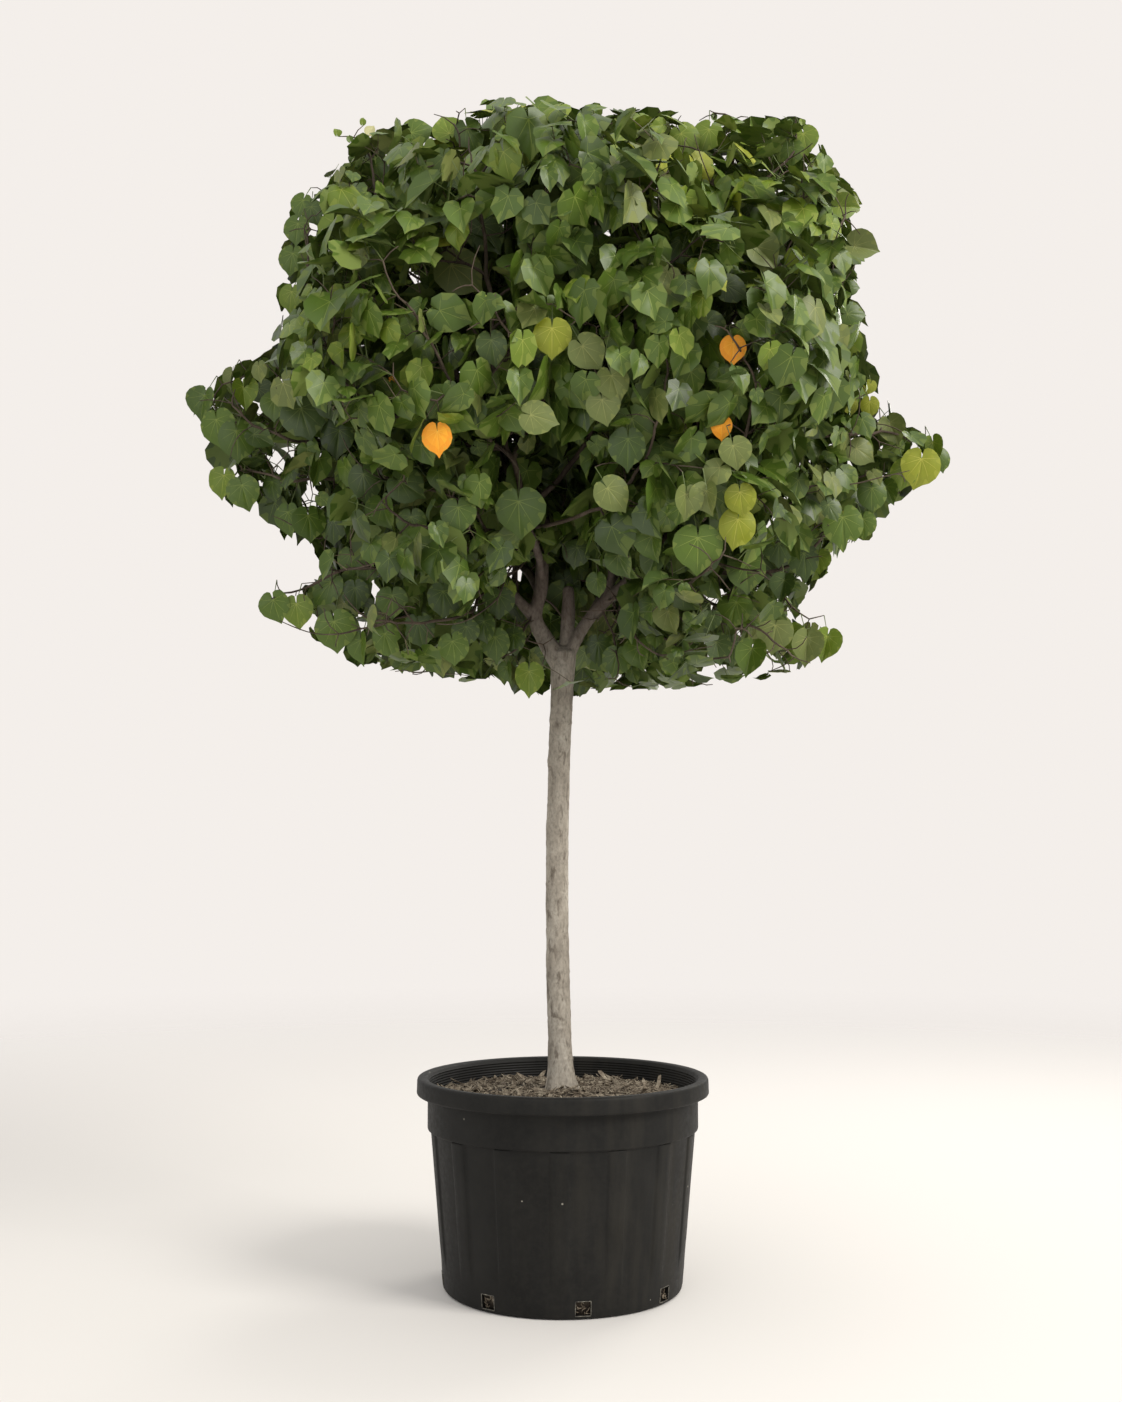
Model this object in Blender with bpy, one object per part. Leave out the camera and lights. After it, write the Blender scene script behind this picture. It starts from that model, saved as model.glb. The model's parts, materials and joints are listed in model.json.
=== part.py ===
"""A heart-leaved hibiscus grown as a standard tree, in a round black nursery pot.

Frame: metres, +Z up, -Y is the front.  The origin is the middle of the pot's
flat underside, so the tree stands on the plane z = 0.

Sub-parts: the pot, its fill of bark mix, the trunk, the boughs at the fork and
the masses of foliage.  Touching pieces keep a seat gap of SEAT.
"""
import math

import bmesh
import bpy
import numpy as np
from mathutils import Matrix, Vector

# ------------------------------------------------------------------ sizes --
SEAT = 0.0004            # gap between pieces that touch

# pot
POT_HEIGHT = 0.420
RIM_RADIUS = 0.300       # outside of the rolled rim
RIM_INNER = 0.277        # inner edge of the rim's flat top
RIM_DEPTH = 0.034        # height of the rim's outer face
BAND_RADIUS = 0.2775     # plain band under the rim
STEP_Z = 0.315           # where the band steps in to the body
BODY_RADIUS = 0.2705     # body just under the step
FOOT_RADIUS = 0.2425     # body at the foot
FOOT_ROUND = 0.008       # rounding of the bottom edge
POT_WALL = 0.0050
FLOOR = 0.006            # thickness of the pot's floor
POT_SIDES = 48
DRAINS = 8               # square drain notches round the foot
DRAIN_WIDTH = 0.030
DRAIN_LOW = 0.0075
DRAIN_HIGH = 0.035
DRAIN_FIRST = 9.0        # degrees to the right of the front

# fill of bark mix
SOIL_EDGE_Z = 0.378      # level against the pot wall
SOIL_MOUND_Z = 0.3920    # level at the trunk
SOIL_SEAT_R = 0.052      # flat part under the trunk
SOIL_CLEAR = 0.0008      # from the pot wall

# trunk
FORK_Z = 1.296
TRUNK_BOW = 0.011        # sideways bow to the left, halfway up
TRUNK_BOW_BACK = 0.006
FOOT_X = -0.003
TRUNK_R = 0.0236
FLARE_R = 0.0115         # how much the foot widens
FLARE_H = 0.055          # over this height
TRUNK_RINGS = 22

# foliage
MASS_GAP = 0.016         # open seam between neighbouring masses
BOXY = 2.9               # 2 is an ellipsoid, more is squarer

# Boughs: name -> parent, height where the axis leaves the parent's, then points
# along the axis (x, y, z), radii at both ends
BOUGHS = {
    "bough_left": ("trunk", 1.262, [(-0.038, -0.004, 1.325), (-0.058, -0.004, 1.372),
                             (-0.046, 0.004, 1.432), (-0.043, 0.010, 1.500), (-0.034, 0.012, 1.585)],
                   0.0215, 0.0110),
    "bough_centre_stub": ("trunk", 1.266, [(0.008, 0.008, 1.330), (0.012, 0.012, 1.385),
                                    (0.012, 0.014, 1.432)], 0.0165, 0.0135),
    "bough_right": ("trunk", 1.270, [(0.040, 0.0, 1.345), (0.078, -0.004, 1.393),
                              (0.112, -0.010, 1.424), (0.160, -0.018, 1.470), (0.196, -0.024, 1.518)],
                    0.0165, 0.0090),
    "bough_outer_left": ("bough_left", 1.368, [(-0.088, -0.010, 1.400), (-0.118, -0.014, 1.436),
                                        (-0.152, -0.014, 1.486), (-0.196, -0.012, 1.530)], 0.0125, 0.0080),
    "bough_back_left": ("bough_left", 1.418, [(-0.064, 0.050, 1.462), (-0.090, 0.112, 1.500),
                                       (-0.118, 0.165, 1.545)], 0.0110, 0.0078),
    "bough_front": ("bough_left", 1.456, [(-0.050, -0.050, 1.492), (-0.066, -0.112, 1.530),
                                   (-0.078, -0.160, 1.580)], 0.0095, 0.0070),
    "bough_back_right": ("bough_right", 1.372, [(0.092, 0.050, 1.436), (0.118, 0.110, 1.484),
                                         (0.140, 0.160, 1.540)], 0.0110, 0.0078),
    "bough_upper_right": ("bough_right", 1.402, [(0.104, -0.002, 1.470), (0.092, 0.006, 1.530),
                                          (0.088, 0.010, 1.590)], 0.0100, 0.0078),
}

# Foliage: name -> centre (x, y, z), half sizes (x, y, z), rings of facets, lobe seed
MASSES = {
    "foliage_top_left": ((-0.455, -0.02, 2.160), (0.160, 0.260, 0.190), 9, 1),
    "foliage_top_middle_left": ((-0.190, 0.00, 2.225), (0.200, 0.290, 0.225), 9, 2),
    "foliage_top_middle_right": ((0.190, 0.02, 2.225), (0.220, 0.290, 0.228), 9, 3),
    "foliage_top_right": ((0.475, 0.00, 2.210), (0.155, 0.260, 0.220), 9, 4),
    "foliage_top_back": ((0.010, 0.33, 2.180), (0.360, 0.270, 0.220), 9, 5),
    "foliage_upper_front": ((0.000, -0.36, 2.090), (0.360, 0.220, 0.165), 9, 6),
    "foliage_middle_left": ((-0.410, 0.02, 1.900), (0.205, 0.310, 0.200), 9, 7),
    "foliage_middle_front_left": ((-0.230, -0.36, 1.830), (0.260, 0.250, 0.210), 9, 8),
    "foliage_middle_front_right": ((0.220, -0.37, 1.840), (0.260, 0.250, 0.210), 9, 9),
    "foliage_middle_right": ((0.430, 0.02, 1.915), (0.215, 0.310, 0.210), 9, 10),
    "foliage_middle_back_right": ((0.230, 0.40, 1.860), (0.270, 0.260, 0.240), 9, 11),
    "foliage_middle_back_left": ((-0.220, 0.40, 1.840), (0.270, 0.260, 0.240), 9, 12),
    "foliage_heart": ((0.000, 0.00, 1.860), (0.220, 0.220, 0.260), 9, 13),
    "foliage_low_left": ((-0.410, 0.08, 1.590), (0.195, 0.250, 0.200), 9, 14),
    "foliage_low_front_left": ((-0.255, -0.27, 1.440), (0.190, 0.210, 0.200), 9, 15),
    "foliage_low_front_right": ((0.235, -0.29, 1.440), (0.190, 0.220, 0.210), 9, 16),
    "foliage_low_right": ((0.430, 0.06, 1.600), (0.215, 0.270, 0.210), 9, 17),
    "foliage_low_back": ((0.010, 0.38, 1.480), (0.330, 0.220, 0.210), 9, 18),
    "foliage_left_arm": ((-0.650, -0.05, 1.740), (0.152, 0.165, 0.135), 8, 19),
    "foliage_right_tip": ((0.692, -0.03, 1.700), (0.128, 0.145, 0.115), 8, 20),
    "foliage_low_left_spray": ((-0.475, -0.08, 1.360), (0.155, 0.150, 0.095), 8, 21),
    "foliage_low_right_spray": ((0.430, -0.10, 1.305), (0.150, 0.130, 0.075), 8, 22),
    "foliage_back_arm": ((0.140, 0.680, 1.640), (0.170, 0.140, 0.120), 8, 23),
}


# ---------------------------------------------------------------- helpers --
def clear_scene():
    for obj in list(bpy.data.objects):
        bpy.data.objects.remove(obj, do_unlink=True)


def material(name, rgb, roughness, metallic=0.0):
    mat = bpy.data.materials.new(name)
    mat.use_nodes = True
    bsdf = mat.node_tree.nodes["Principled BSDF"]
    bsdf.inputs["Base Color"].default_value = (*rgb, 1.0)
    bsdf.inputs["Roughness"].default_value = roughness
    bsdf.inputs["Metallic"].default_value = metallic
    mat.diffuse_color = (*rgb, 1.0)
    return mat


def collection(name):
    col = bpy.data.collections.new(name)
    bpy.context.scene.collection.children.link(col)
    return col


def add(mesh, name, col, mat=None):
    obj = bpy.data.objects.new(name, mesh)
    col.objects.link(obj)
    if mat:
        mesh.materials.append(mat)
    return obj


def as_cutter(obj):
    obj.hide_render = True
    obj.display_type = "WIRE"
    return obj


def cut(obj, cutter):
    mod = obj.modifiers.new("cut_" + cutter.name, "BOOLEAN")
    mod.operation = "DIFFERENCE"
    mod.solver = "EXACT"
    mod.object = cutter


def smooth_path(points, count):
    """Points read off a centripetal curve through the given ones."""
    pts = [Vector(p) for p in points]
    pts = [2 * pts[0] - pts[1]] + pts + [2 * pts[-1] - pts[-2]]
    out = []
    spans = len(pts) - 3
    for k in range(count):
        u = k * spans / (count - 1)
        i = min(int(u), spans - 1)
        f = u - i
        a, b, c, d = pts[i:i + 4]
        out.append(0.5 * ((2 * b) + (c - a) * f + (2 * a - 5 * b + 4 * c - d) * f ** 2
                          + (3 * b - a - 3 * c + d) * f ** 3))
    return out


def tube(name, path, radii, bevel_resolution, grow=0.0):
    """A tapering tube along the path, as a closed mesh object."""
    curve = bpy.data.curves.new(name, "CURVE")
    curve.dimensions = "3D"
    curve.bevel_depth = 1.0
    curve.bevel_resolution = bevel_resolution
    curve.use_fill_caps = True
    spline = curve.splines.new("POLY")
    spline.points.add(len(path) - 1)
    for point, where, r in zip(spline.points, path, radii):
        point.co = (*where, 1.0)
        point.radius = r + grow
    obj = bpy.data.objects.new(name, curve)
    bpy.context.scene.collection.objects.link(obj)
    deps = bpy.context.evaluated_depsgraph_get()
    deps.update()
    mesh = bpy.data.meshes.new_from_object(obj.evaluated_get(deps))
    mesh.name = name
    bpy.data.objects.remove(obj, do_unlink=True)
    bpy.data.curves.remove(curve)
    bm = bmesh.new()
    bm.from_mesh(mesh)
    bmesh.ops.remove_doubles(bm, verts=bm.verts, dist=0.00005)
    bmesh.ops.recalc_face_normals(bm, faces=bm.faces)
    bm.to_mesh(mesh)
    bm.free()
    mesh.materials.clear()
    mesh.shade_smooth()
    mesh.set_sharp_from_angle(angle=math.radians(50))
    return mesh


# -------------------------------------------------------------------- pot --
def outer_radius(z):
    """Outside of the body under the step, which tapers to the foot."""
    return FOOT_RADIUS + (BODY_RADIUS - FOOT_RADIUS) * z / STEP_Z


def pot_profile():
    """The wall's section, round from the rim's top, down outside, up inside."""
    lip = POT_HEIGHT - RIM_DEPTH
    pts = [(RIM_INNER + 0.003, POT_HEIGHT), (RIM_RADIUS - 0.005, POT_HEIGHT), (RIM_RADIUS, POT_HEIGHT - 0.005),
           (RIM_RADIUS - 0.001, lip + 0.003), (RIM_RADIUS - 0.004, lip), (BAND_RADIUS, lip + 0.002),
           (BAND_RADIUS - 0.001, STEP_Z + 0.004), (BODY_RADIUS, STEP_Z),
           (outer_radius(0.12), 0.12)]
    for k in range(3):
        a = math.radians(45 * k)
        pts.append((outer_radius(0) - FOOT_ROUND + FOOT_ROUND * math.cos(a), FOOT_ROUND - FOOT_ROUND * math.sin(a)))
    pts.append((0.0, 0.0))
    pts.append((0.0, FLOOR))
    pts.append((outer_radius(FLOOR) - POT_WALL - 0.002, FLOOR))
    pts.append((outer_radius(0.12) - POT_WALL, 0.12))
    pts.append((BODY_RADIUS - POT_WALL, STEP_Z - 0.006))
    pts.append((BAND_RADIUS - POT_WALL - 0.001, STEP_Z + 0.006))
    pts.append((RIM_INNER - 0.004, POT_HEIGHT - 0.012))
    pts.append((RIM_INNER, POT_HEIGHT - 0.003))
    return pts


def build_pot(col, cutters, mat):
    profile = pot_profile()
    mesh = bpy.data.meshes.new("pot")
    bm = bmesh.new()
    verts = [bm.verts.new((r, 0.0, z)) for r, z in profile]
    edges = [bm.edges.new((a, b)) for a, b in zip(verts, verts[1:] + verts[:1])
             if not (a.co.x == 0 and b.co.x == 0)]
    bmesh.ops.spin(bm, geom=verts + edges, axis=(0, 0, 1), cent=(0, 0, 0), angle=2 * math.pi,
                   steps=POT_SIDES, use_duplicate=False)
    bmesh.ops.remove_doubles(bm, verts=bm.verts, dist=0.00005)
    bmesh.ops.recalc_face_normals(bm, faces=bm.faces)
    bm.to_mesh(mesh)
    bm.free()
    mesh.shade_smooth()
    mesh.set_sharp_from_angle(angle=math.radians(40))
    pot = add(mesh, "pot", col, mat)
    for k in range(DRAINS):
        a = math.radians(DRAIN_FIRST + 360 / DRAINS * k)
        me = bpy.data.meshes.new("drain_cutter_%d" % k)
        bm = bmesh.new()
        bmesh.ops.create_cube(bm, size=1.0)
        bmesh.ops.scale(bm, vec=(DRAIN_WIDTH, 0.06, DRAIN_HIGH - DRAIN_LOW), verts=bm.verts)
        bm.to_mesh(me)
        bm.free()
        cutter = as_cutter(add(me, me.name, cutters))
        reach = FOOT_RADIUS
        cutter.location = (reach * math.sin(a), -reach * math.cos(a), (DRAIN_HIGH + DRAIN_LOW) / 2)
        cutter.rotation_euler = (0, 0, a)
        cut(pot, cutter)
    return pot


def inner_radius(z):
    """Inside of the pot wall at height z."""
    if z < 0.12:
        lo, hi = outer_radius(FLOOR) - POT_WALL - 0.002, outer_radius(0.12) - POT_WALL
        return lo + (hi - lo) * (z - FLOOR) / (0.12 - FLOOR)
    if z < STEP_Z - 0.006:
        lo, hi = outer_radius(0.12) - POT_WALL, BODY_RADIUS - POT_WALL
        return lo + (hi - lo) * (z - 0.12) / (STEP_Z - 0.006 - 0.12)
    lo, hi = BODY_RADIUS - POT_WALL, BAND_RADIUS - POT_WALL - 0.001
    return lo + (hi - lo) * min(1.0, (z - STEP_Z + 0.006) / 0.012)


def build_soil(col, mat):
    """The fill: the wall's taper below, a low uneven mound on top."""
    sides = 40
    tight = math.cos(math.pi / POT_SIDES)   # the wall's facets come inside its circle
    levels = [FLOOR + SEAT, 0.12, STEP_Z - 0.006, STEP_Z + 0.006, SOIL_EDGE_Z]
    mesh = bpy.data.meshes.new("bark_mix")
    bm = bmesh.new()
    rows = []
    for i, z in enumerate(levels):
        r = (inner_radius(max(z, FLOOR)) * tight - SOIL_CLEAR)
        rows.append([(r, z)] * sides)
    for r in (0.205, 0.125, SOIL_SEAT_R):
        ring = []
        for k in range(sides):
            a = 2 * math.pi * k / sides
            t = (r - SOIL_SEAT_R) / (0.26 - SOIL_SEAT_R)
            z = SOIL_MOUND_Z + (SOIL_EDGE_Z - SOIL_MOUND_Z) * t ** 0.8
            if r > SOIL_SEAT_R:
                z += 0.0022 * math.sin(3 * a + 21 * r) + 0.0016 * math.sin(7 * a - 33 * r)
            ring.append((r, z))
        rows.append(ring)
    verts = [[bm.verts.new((r * math.cos(2 * math.pi * k / sides), r * math.sin(2 * math.pi * k / sides), z))
              for k, (r, z) in enumerate(row)] for row in rows]
    loops = []
    for row in verts:
        loops.append([bm.edges.new((a, b)) for a, b in zip(row, row[1:] + row[:1])])
    for low, high in zip(loops, loops[1:]):
        bmesh.ops.bridge_loops(bm, edges=low + high)
    bm.faces.new(list(reversed(verts[0])))
    bm.faces.new(verts[-1])
    bmesh.ops.recalc_face_normals(bm, faces=bm.faces)
    bm.to_mesh(mesh)
    bm.free()
    mesh.shade_smooth()
    mesh.set_sharp_from_angle(angle=math.radians(40))
    return add(mesh, "bark_mix", col, mat)


# ---------------------------------------------------------------- foliage --
def reach(half, d):
    """How far a squared ellipsoid of these half sizes goes along unit d."""
    return sum(abs(c / h) ** BOXY for c, h in zip(d, half)) ** (-1 / BOXY)


def lobes(seed):
    """Rounded lumps and dents in fixed directions, as (direction, width, height)."""
    rng = np.random.RandomState(400 + seed)
    out = []
    for _ in range(15):
        v = rng.normal(size=3)
        v /= np.linalg.norm(v)
        out.append((v, rng.uniform(0.26, 0.50), rng.uniform(-0.22, 0.15)))
    return out


def mass_planes(name):
    """Seams to the neighbours, as (unit normal, distance from the centre)."""
    centre, half, _, _ = MASSES[name]
    planes = []
    for other, (oc, oh, _, _) in MASSES.items():
        if other == name:
            continue
        d = np.array(oc) - np.array(centre)
        dist = np.linalg.norm(d)
        d /= dist
        mine, theirs = reach(half, d), reach(oh, d)
        planes.append((d, dist * mine / (mine + theirs) - MASS_GAP / 2))
    return planes


def mass_radius(name, d):
    """Distance from the centre of the mass to its surface along unit d."""
    _, half, _, seed = MASSES[name]
    k = 1.0
    for axis, width, height in LOBES[name]:
        k += height * math.exp(-((1 - float(d @ axis)) / width ** 2))
    r = reach(half, d) * min(max(k, 0.76), 1.10)
    for normal, offset in PLANES[name]:
        along = float(d @ normal)
        if along > 1e-6:
            r = min(r, offset / along)
    return r


def near_foliage(point, clear):
    """Whether the point lies in a mass or within this distance of its surface."""
    for name, (centre, _, _, _) in MASSES.items():
        d = np.array(point) - np.array(centre)
        dist = np.linalg.norm(d)
        if dist - clear < mass_radius(name, d / dist):
            return True
    return False


LOBES = {name: lobes(MASSES[name][3]) for name in MASSES}
PLANES = {name: mass_planes(name) for name in MASSES}


def build_mass(name, col, mat):
    centre, _, rings, _ = MASSES[name]
    mesh = bpy.data.meshes.new(name)
    bm = bmesh.new()
    bmesh.ops.create_uvsphere(bm, u_segments=2 * rings - 3, v_segments=rings, radius=1.0)
    for v in bm.verts:
        d = np.array(v.co.normalized())
        v.co = Vector(d * mass_radius(name, d))
    bmesh.ops.triangulate(bm, faces=bm.faces)
    bmesh.ops.recalc_face_normals(bm, faces=bm.faces)
    bmesh.ops.translate(bm, verts=bm.verts, vec=Vector(centre))
    bm.to_mesh(mesh)
    bm.free()
    mesh.shade_smooth()
    return add(mesh, name, col, mat)


# ------------------------------------------------------------ trunk, boughs --
def trunk_axis(z):
    u = (z - SOIL_MOUND_Z) / (FORK_Z - SOIL_MOUND_Z)
    return Vector((FOOT_X * (1 - u) + 0.002 * u - TRUNK_BOW * math.sin(math.pi * u),
                   TRUNK_BOW_BACK * math.sin(math.pi * u * 1.15), z))


def trunk_radius(z):
    """Taper, a foot flare, and a little swelling under the fork."""
    u = (z - SOIL_MOUND_Z) / (FORK_Z - SOIL_MOUND_Z)
    r = TRUNK_R + 0.0012 * max(0.0, 1 - u / 0.4)
    r += FLARE_R * math.exp(-(z - SOIL_MOUND_Z) / (FLARE_H * 0.55))
    r += 0.0030 * max(0.0, (u - 0.86) / 0.14) ** 1.5
    return r


def trunk_path():
    zs = [SOIL_MOUND_Z + SEAT + (FORK_Z - SOIL_MOUND_Z - SEAT) * (k / (TRUNK_RINGS - 1)) ** 1.25
          for k in range(TRUNK_RINGS)]
    path = [trunk_axis(z) for z in zs]
    radii = [trunk_radius(z) for z in zs]
    # the crown of the fork closes over in two steps
    top = path[-1]
    path += [top + Vector((0, 0, 0.010)), top + Vector((0, 0, 0.015))]
    radii += [radii[-1] * 0.80, radii[-1] * 0.45]
    return path, radii


def shape_foot(mesh):
    """Root flare: three low buttresses, with the cut below kept flat."""
    for v in mesh.vertices:
        h = v.co.z - SOIL_MOUND_Z
        if h < 0.12:
            axis = trunk_axis(max(v.co.z, SOIL_MOUND_Z))
            d = Vector((v.co.x - axis.x, v.co.y - axis.y, 0))
            if d.length > 1e-6:
                a = math.atan2(d.y, d.x)
                k = 1 + 0.10 * math.exp(-max(h, 0) / 0.03) * math.cos(3 * a + 0.8)
                v.co.x = axis.x + d.x * k
                v.co.y = axis.y + d.y * k
        if h < 0.004:
            v.co.z = SOIL_MOUND_Z + SEAT


def axis_at(parent, z):
    """The point of the parent's axis at height z, where a bough takes off."""
    if parent == "trunk":
        return trunk_axis(z)
    path, _ = bough_path(parent)
    for a, b in zip(path, path[1:]):
        if a.z <= z <= b.z:
            return a.lerp(b, (z - a.z) / (b.z - a.z))
    return path[-1]


def bough_path(name):
    parent, start, points, r0, r1 = BOUGHS[name]
    points = [axis_at(parent, start)] + points
    length = sum((Vector(b) - Vector(a)).length for a, b in zip(points, points[1:]))
    count = max(6, int(length / 0.032))
    path = smooth_path(points, count)
    # a bough ends where it enters a mass of foliage
    for k in range(3, count):
        if near_foliage(path[k], r0 + 0.006):
            path = path[:k]
            break
    count = len(path)
    radii = []
    for k in range(count):
        t = k / (count - 1)
        radii.append(r0 + (r1 - r0) * t ** 0.75 + 0.0010 * math.sin(9 * t + 2 * len(name)))
    if name.endswith("stub"):       # an old pruning cut, healed over round
        end = path[-1]
        up = (path[-1] - path[-2]).normalized()
        path += [end + up * 0.006, end + up * 0.009]
        radii += [radii[-1] * 0.85, radii[-1] * 0.5]
    return path, radii


def build_wood(col, cutters, mats):
    path, radii = trunk_path()
    mesh = tube("trunk", path, radii, 5)
    shape_foot(mesh)
    add(mesh, "trunk", col, mats["bark"])
    grown = tube("trunk_cutter", path[4:], radii[4:], 5, grow=SEAT)
    cutter_of = {"trunk": as_cutter(add(grown, "trunk_cutter", cutters))}
    done = []
    for name, (parent, _, _, r0, r1) in BOUGHS.items():
        path, radii = bough_path(name)
        obj = add(tube(name, path, radii, 4 if r0 > 0.012 else 3), name, col, mats["bark_" + name])
        # each bough is seated on its parent, and on the earlier ones that share the parent
        for other in [parent] + [n for n in done if BOUGHS[n][0] == parent]:
            cut(obj, cutter_of[other])
        cutter = add(tube(name + "_cutter", path, radii, 4 if r0 > 0.012 else 3, grow=SEAT),
                     name + "_cutter", cutters)
        cutter_of[name] = as_cutter(cutter)
        done.append(name)


# ------------------------------------------------------------------- main --
def main():
    clear_scene()
    tree = collection("hibiscus_tree")
    cutters = collection("cutters")
    build_pot(tree, cutters, material("pot_black_plastic", (0.022, 0.022, 0.021), 0.55))
    build_soil(tree, material("bark_mix", (0.17, 0.13, 0.10), 0.95))
    bark = {"bark": material("trunk_bark", (0.30, 0.27, 0.235), 0.85)}
    for k, name in enumerate(BOUGHS):
        shade = 0.21 - 0.008 * k
        bark["bark_" + name] = material(name + "_bark", (shade, shade * 0.86, shade * 0.74), 0.85)
    build_wood(tree, cutters, bark)
    for k, name in enumerate(MASSES):
        lit = max(0.0, min(1.0, (MASSES[name][0][2] - 1.3) / 1.1))
        leaf = material(name + "_leaves", (0.05 + 0.035 * lit, 0.11 + 0.05 * lit, 0.020 + 0.006 * (k % 3)), 0.6)
        build_mass(name, tree, leaf)


main()
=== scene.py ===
"""The looks of a heart-leaved hibiscus grown as a standard tree in a black nursery pot.

Frame: metres, +Z up, -Y is the front, origin at the middle of the pot's flat
underside.  The pot, its fill, the stem with its boughs, and every mass of
foliage are replaced here by finished meshes that stay where the solids are.
Twigs grow on from the boughs by a seeded branching rule, and carry the leaves.
"""
import json
import math

import bmesh
import bpy
import numpy as np
from mathutils import Matrix, Vector

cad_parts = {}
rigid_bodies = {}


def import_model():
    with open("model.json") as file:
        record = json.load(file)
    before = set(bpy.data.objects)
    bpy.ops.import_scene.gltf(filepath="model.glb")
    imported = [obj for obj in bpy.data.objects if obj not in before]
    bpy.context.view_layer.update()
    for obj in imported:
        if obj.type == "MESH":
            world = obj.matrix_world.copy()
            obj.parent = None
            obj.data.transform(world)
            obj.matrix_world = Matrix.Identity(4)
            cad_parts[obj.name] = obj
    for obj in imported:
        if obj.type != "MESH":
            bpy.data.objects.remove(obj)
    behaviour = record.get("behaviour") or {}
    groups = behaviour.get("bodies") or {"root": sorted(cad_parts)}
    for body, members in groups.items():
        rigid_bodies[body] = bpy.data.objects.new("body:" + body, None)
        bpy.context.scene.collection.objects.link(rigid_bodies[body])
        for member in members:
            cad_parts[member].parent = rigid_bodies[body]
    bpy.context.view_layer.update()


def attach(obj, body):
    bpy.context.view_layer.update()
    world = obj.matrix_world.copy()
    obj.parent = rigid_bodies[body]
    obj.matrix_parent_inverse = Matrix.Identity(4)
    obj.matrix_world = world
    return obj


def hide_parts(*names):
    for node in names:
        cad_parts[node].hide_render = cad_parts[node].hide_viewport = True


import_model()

# ------------------------------------------------------------------ sizes --
# pot
POT_HEIGHT = 0.420
RIM_RADIUS = 0.300
BAND_RADIUS = 0.2775
STEP_Z = 0.315
BODY_RADIUS = 0.2705
FOOT_RADIUS = 0.2425
FOOT_ROUND = 0.008
POT_WALL = 0.005
FLOOR_Z = 0.006
DRAINS = 8
DRAIN_FIRST = 9.0
DRAIN_WIDTH = 0.030
DRAIN_LOW = 0.0075
DRAIN_HIGH = 0.035
RIBS = 15
RIB_FIRST = 18.5
RIB_WIDE = 8.5
RIB_HEIGHT = 0.0024

# fill of bark mix
SOIL_EDGE_Z = 0.378
SOIL_MOUND_Z = 0.3920
SOIL_SEAT_R = 0.052

# trunk
FORK_Z = 1.296
TRUNK_BOW = 0.011
TRUNK_BOW_BACK = 0.006
FOOT_X = -0.003
TRUNK_R = 0.0236
FLARE_R = 0.0115
FLARE_H = 0.055

# boughs: parent, height where the axis leaves the parent's, points, end radii
BOUGHS = {
    "bough_left": ("trunk", 1.262, [(-0.038, -0.004, 1.325), (-0.058, -0.004, 1.372),
                                    (-0.046, 0.004, 1.432), (-0.043, 0.010, 1.500),
                                    (-0.034, 0.012, 1.585)], 0.0215, 0.0110),
    "bough_centre_stub": ("trunk", 1.266, [(0.008, 0.008, 1.330), (0.012, 0.012, 1.385),
                                           (0.012, 0.014, 1.432)], 0.0165, 0.0135),
    "bough_right": ("trunk", 1.270, [(0.040, 0.0, 1.345), (0.078, -0.004, 1.393), (0.112, -0.010, 1.424),
                                     (0.160, -0.018, 1.470), (0.196, -0.024, 1.518)], 0.0165, 0.0090),
    "bough_outer_left": ("bough_left", 1.368, [(-0.088, -0.010, 1.400), (-0.118, -0.014, 1.436),
                                               (-0.152, -0.014, 1.486), (-0.196, -0.012, 1.530)],
                         0.0125, 0.0080),
    "bough_back_left": ("bough_left", 1.418, [(-0.064, 0.050, 1.462), (-0.090, 0.112, 1.500),
                                              (-0.118, 0.165, 1.545)], 0.0110, 0.0078),
    "bough_front": ("bough_left", 1.456, [(-0.050, -0.050, 1.492), (-0.066, -0.112, 1.530),
                                          (-0.078, -0.160, 1.580)], 0.0095, 0.0070),
    "bough_back_right": ("bough_right", 1.372, [(0.092, 0.050, 1.436), (0.118, 0.110, 1.484),
                                                (0.140, 0.160, 1.540)], 0.0110, 0.0078),
    "bough_upper_right": ("bough_right", 1.402, [(0.104, -0.002, 1.470), (0.092, 0.006, 1.530),
                                                 (0.088, 0.010, 1.590)], 0.0100, 0.0078),
}

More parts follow.
